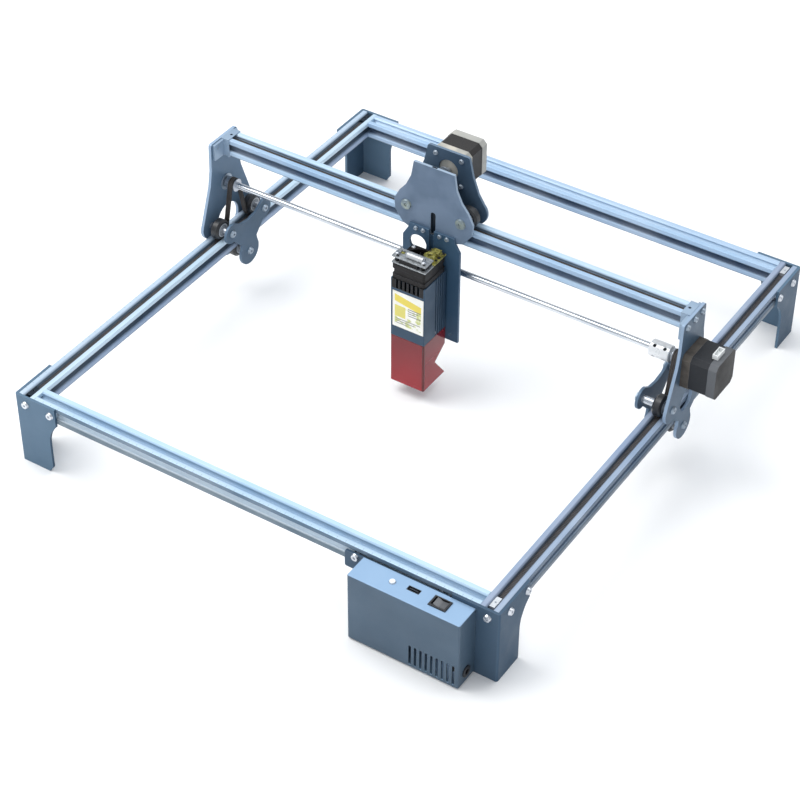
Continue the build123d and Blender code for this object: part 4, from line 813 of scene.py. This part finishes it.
# set screws of the coupling
SET_SCREW_INSET = 0.0055
SET_SCREW_SEAT = 0.0066
coupling_low, coupling_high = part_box("shaft_coupling")
axis_y = (coupling_low.y + coupling_high.y) / 2
axis_z = (coupling_low.z + coupling_high.z) / 2
set_screws = Piece("coupling_set_screws")
for x in (coupling_low.x + SET_SCREW_INSET, coupling_high.x - SET_SCREW_INSET):
    for tilt in (35, 125):
        aim = Vector((0, -math.sin(math.radians(tilt)), math.cos(math.radians(tilt))))
        seat = Vector((x, axis_y, axis_z)) + aim * SET_SCREW_SEAT
        socket_screw(set_screws, seat, aim, radius=0.0018, height=0.0016)
set_screws.finish("drive_shaft", dark)

# each motor's rear face: a round bearing seat and four sunk screws
MOTOR_SCREW_OFFSET = 0.0155
for node, body, axis in (
    ("y_motor", "gantry", Vector((1, 0, 0))),
    ("x_motor", "carriage", Vector((0, 1, 0))),
):
    low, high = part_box(node)
    middle = (low + high) / 2
    middle[list(axis).index(1)] = high[list(axis).index(1)]
    side = axis.cross(Vector(UP))
    rear = Piece(node + "_rear_details")
    rear.lathe(place_at(middle - axis * 0.0004, axis),
               [(0.0092, 0), (0.0092, 0.0003), (0.0084, 0.0004), (0.0080, 0.0001), (0.0, 0.0001)])
    for u in (-MOTOR_SCREW_OFFSET, MOTOR_SCREW_OFFSET):
        for v in (-MOTOR_SCREW_OFFSET, MOTOR_SCREW_OFFSET):
            seat = middle - axis * 0.0012 + side * u + Vector((0, 0, v))
            socket_screw(rear, seat, axis, radius=0.0026, height=0.0012)
    rear.finish(body, dark)

# screws at the foot of the head's sides, at the fan's corners and on the boards' posts
head_low, head_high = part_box("heat_sink")
fan_low, fan_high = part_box("fan_frame")
mid_y = (fan_low.y + fan_high.y) / 2
mid_x = (fan_low.x + fan_high.x) / 2
head_screws = Piece("head_screws")
for side, x in ((-1, head_low.x), (1, head_high.x)):
    seat = (x - side * 0.0003, mid_y, head_low.z + 0.0042)
    socket_screw(head_screws, seat, (side, 0, 0), radius=0.0024, height=0.0003)
FAN_SCREW = 0.016
posts_top = UPPER_BOARD + BOARD + 0.0015
for u, v, z in (
    (-FAN_SCREW, -FAN_SCREW, posts_top),
    (FAN_SCREW, -FAN_SCREW, posts_top),
    (-FAN_SCREW, FAN_SCREW, fan_high.z),
):
    socket_screw(head_screws, (mid_x + u, mid_y + v, z), UP, radius=0.0026, height=0.0016)
head_screws.finish("laser_head", bright)

# the wound coil's turns, and small chips on the boards
coil_copper = metal("coil_copper", "8d8a3a", "bdb869", metallic=0.6, rough=0.35, bump=0.1,
                    edge=0.0002, wear=0.3)
chip_black = plastic("chip_black", "101113", "1a1b1e", rough=0.4, bump=0.05)
COIL_TURNS = 18
COIL_RADIUS = 0.0056
WIRE_RADIUS = 0.0006
COIL_HEIGHT = 0.0062
wire = []
for corner in range(8):
    turn = corner * math.pi / 4
    wire.append((WIRE_RADIUS * math.cos(turn), WIRE_RADIUS * math.sin(turn)))
coil_turns = Piece("coil_turns")
coil_centre = Vector((mid_x + 0.0115, mid_y + 0.003, LOWER_BOARD + BOARD + 0.0028))
for i in range(COIL_TURNS):
    a = 2 * math.pi * i / COIL_TURNS
    spot = coil_centre + Vector((math.cos(a), math.sin(a), 0)) * COIL_RADIUS
    coil_turns.prism(place_at(spot - Vector((0, 0, 0.0030)), UP), wire, COIL_HEIGHT)
coil_turns.finish("laser_head", coil_copper, 0.0001)
shuffle = random.Random(7)
chips = Piece("board_chips")
CHIP_TAPER = 0.94
UPPER_CHIPS = (
    (-0.014, -0.0185), (-0.006, -0.009), (0.002, -0.0085), (0.013, -0.010), (0.0175, -0.0175),
)
LOWER_CHIPS = (
    (0.004, 0.009), (0.0045, 0.016), (0.0185, 0.0045), (0.0185, 0.010), (0.0185, 0.0185),
)
for spots, level, lengths, widths, height in (
    (UPPER_CHIPS, UPPER_BOARD, (0.0024, 0.0042), (0.0018, 0.0032), 0.0011),
    (LOWER_CHIPS, LOWER_BOARD, (0.0022, 0.0034), (0.0018, 0.0030), 0.0012),
):
    for u, v in spots:
        outline = rectangle(shuffle.uniform(*lengths), shuffle.uniform(*widths))
        place = place_at((mid_x + u, mid_y + v, level + BOARD), UP)
        chips.prism(place, outline, height, CHIP_TAPER)
chips.finish("laser_head", chip_black, 0.00012)

# teeth of the straight belts
TOOTH_LENGTH = 0.001
TOOTH_HEIGHT = 0.0006
TOOTH_TAPER = 0.82
TOOTH_SINK = 0.00005
rubber = plastic("tooth_rubber", "2b2423", "453a35", rough=0.7)


def belt_teeth(name, body, low, high, along, width):
    """A row of tapered teeth on top of a belt that runs along x or y."""
    teeth = Piece(name)
    index = "xy".index(along)
    count = int((high[index] - low[index]) / BELT_PITCH)
    middle = (low + high) / 2
    outline = rectangle(TOOTH_LENGTH, width) if along == "x" else rectangle(width, TOOTH_LENGTH)
    for i in range(count):
        spot = Vector((middle.x, middle.y, high.z - TOOTH_SINK))
        spot[index] = low[index] + (i + 0.5) * BELT_PITCH
        teeth.prism(place_at(spot, UP), outline, TOOTH_HEIGHT, TOOTH_TAPER)
    teeth.finish(body, rubber)


belts_low, belts_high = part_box("y_belts")
clamp_low, clamp_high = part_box("belt_clamps")
BELT_WIDTH = 0.006
CLAMP_LENGTH = 0.015
for name, x in (("left", belts_low.x), ("right", belts_high.x - BELT_WIDTH)):
    start = Vector((x, clamp_low.y + CLAMP_LENGTH, belts_low.z))
    end = Vector((x + BELT_WIDTH, clamp_high.y - CLAMP_LENGTH, belts_high.z))
    belt_teeth(f"belt_teeth_{name}", "base_frame", start, end, "y", BELT_WIDTH - 0.0002)

# ---------------------------------------------------------------- floor
floor_mesh = bpy.data.meshes.new("floor")
FLOOR_WIDTH = 18.0
corners = [(u, v, 0) for u, v in rectangle(FLOOR_WIDTH, FLOOR_WIDTH)]
floor_mesh.from_pydata(corners, [], [(0, 1, 2, 3)])
floor = bpy.data.objects.new("floor", floor_mesh)
bpy.context.scene.collection.objects.link(floor)
paper = Paint("floor_paper")
paper.set(Base_Color=paper.mix(paper.noise(3, 2), rgb("f4f5f6"), rgb("f8f8f8")), Roughness=0.9)
floor_mesh.materials.append(paper.mat)
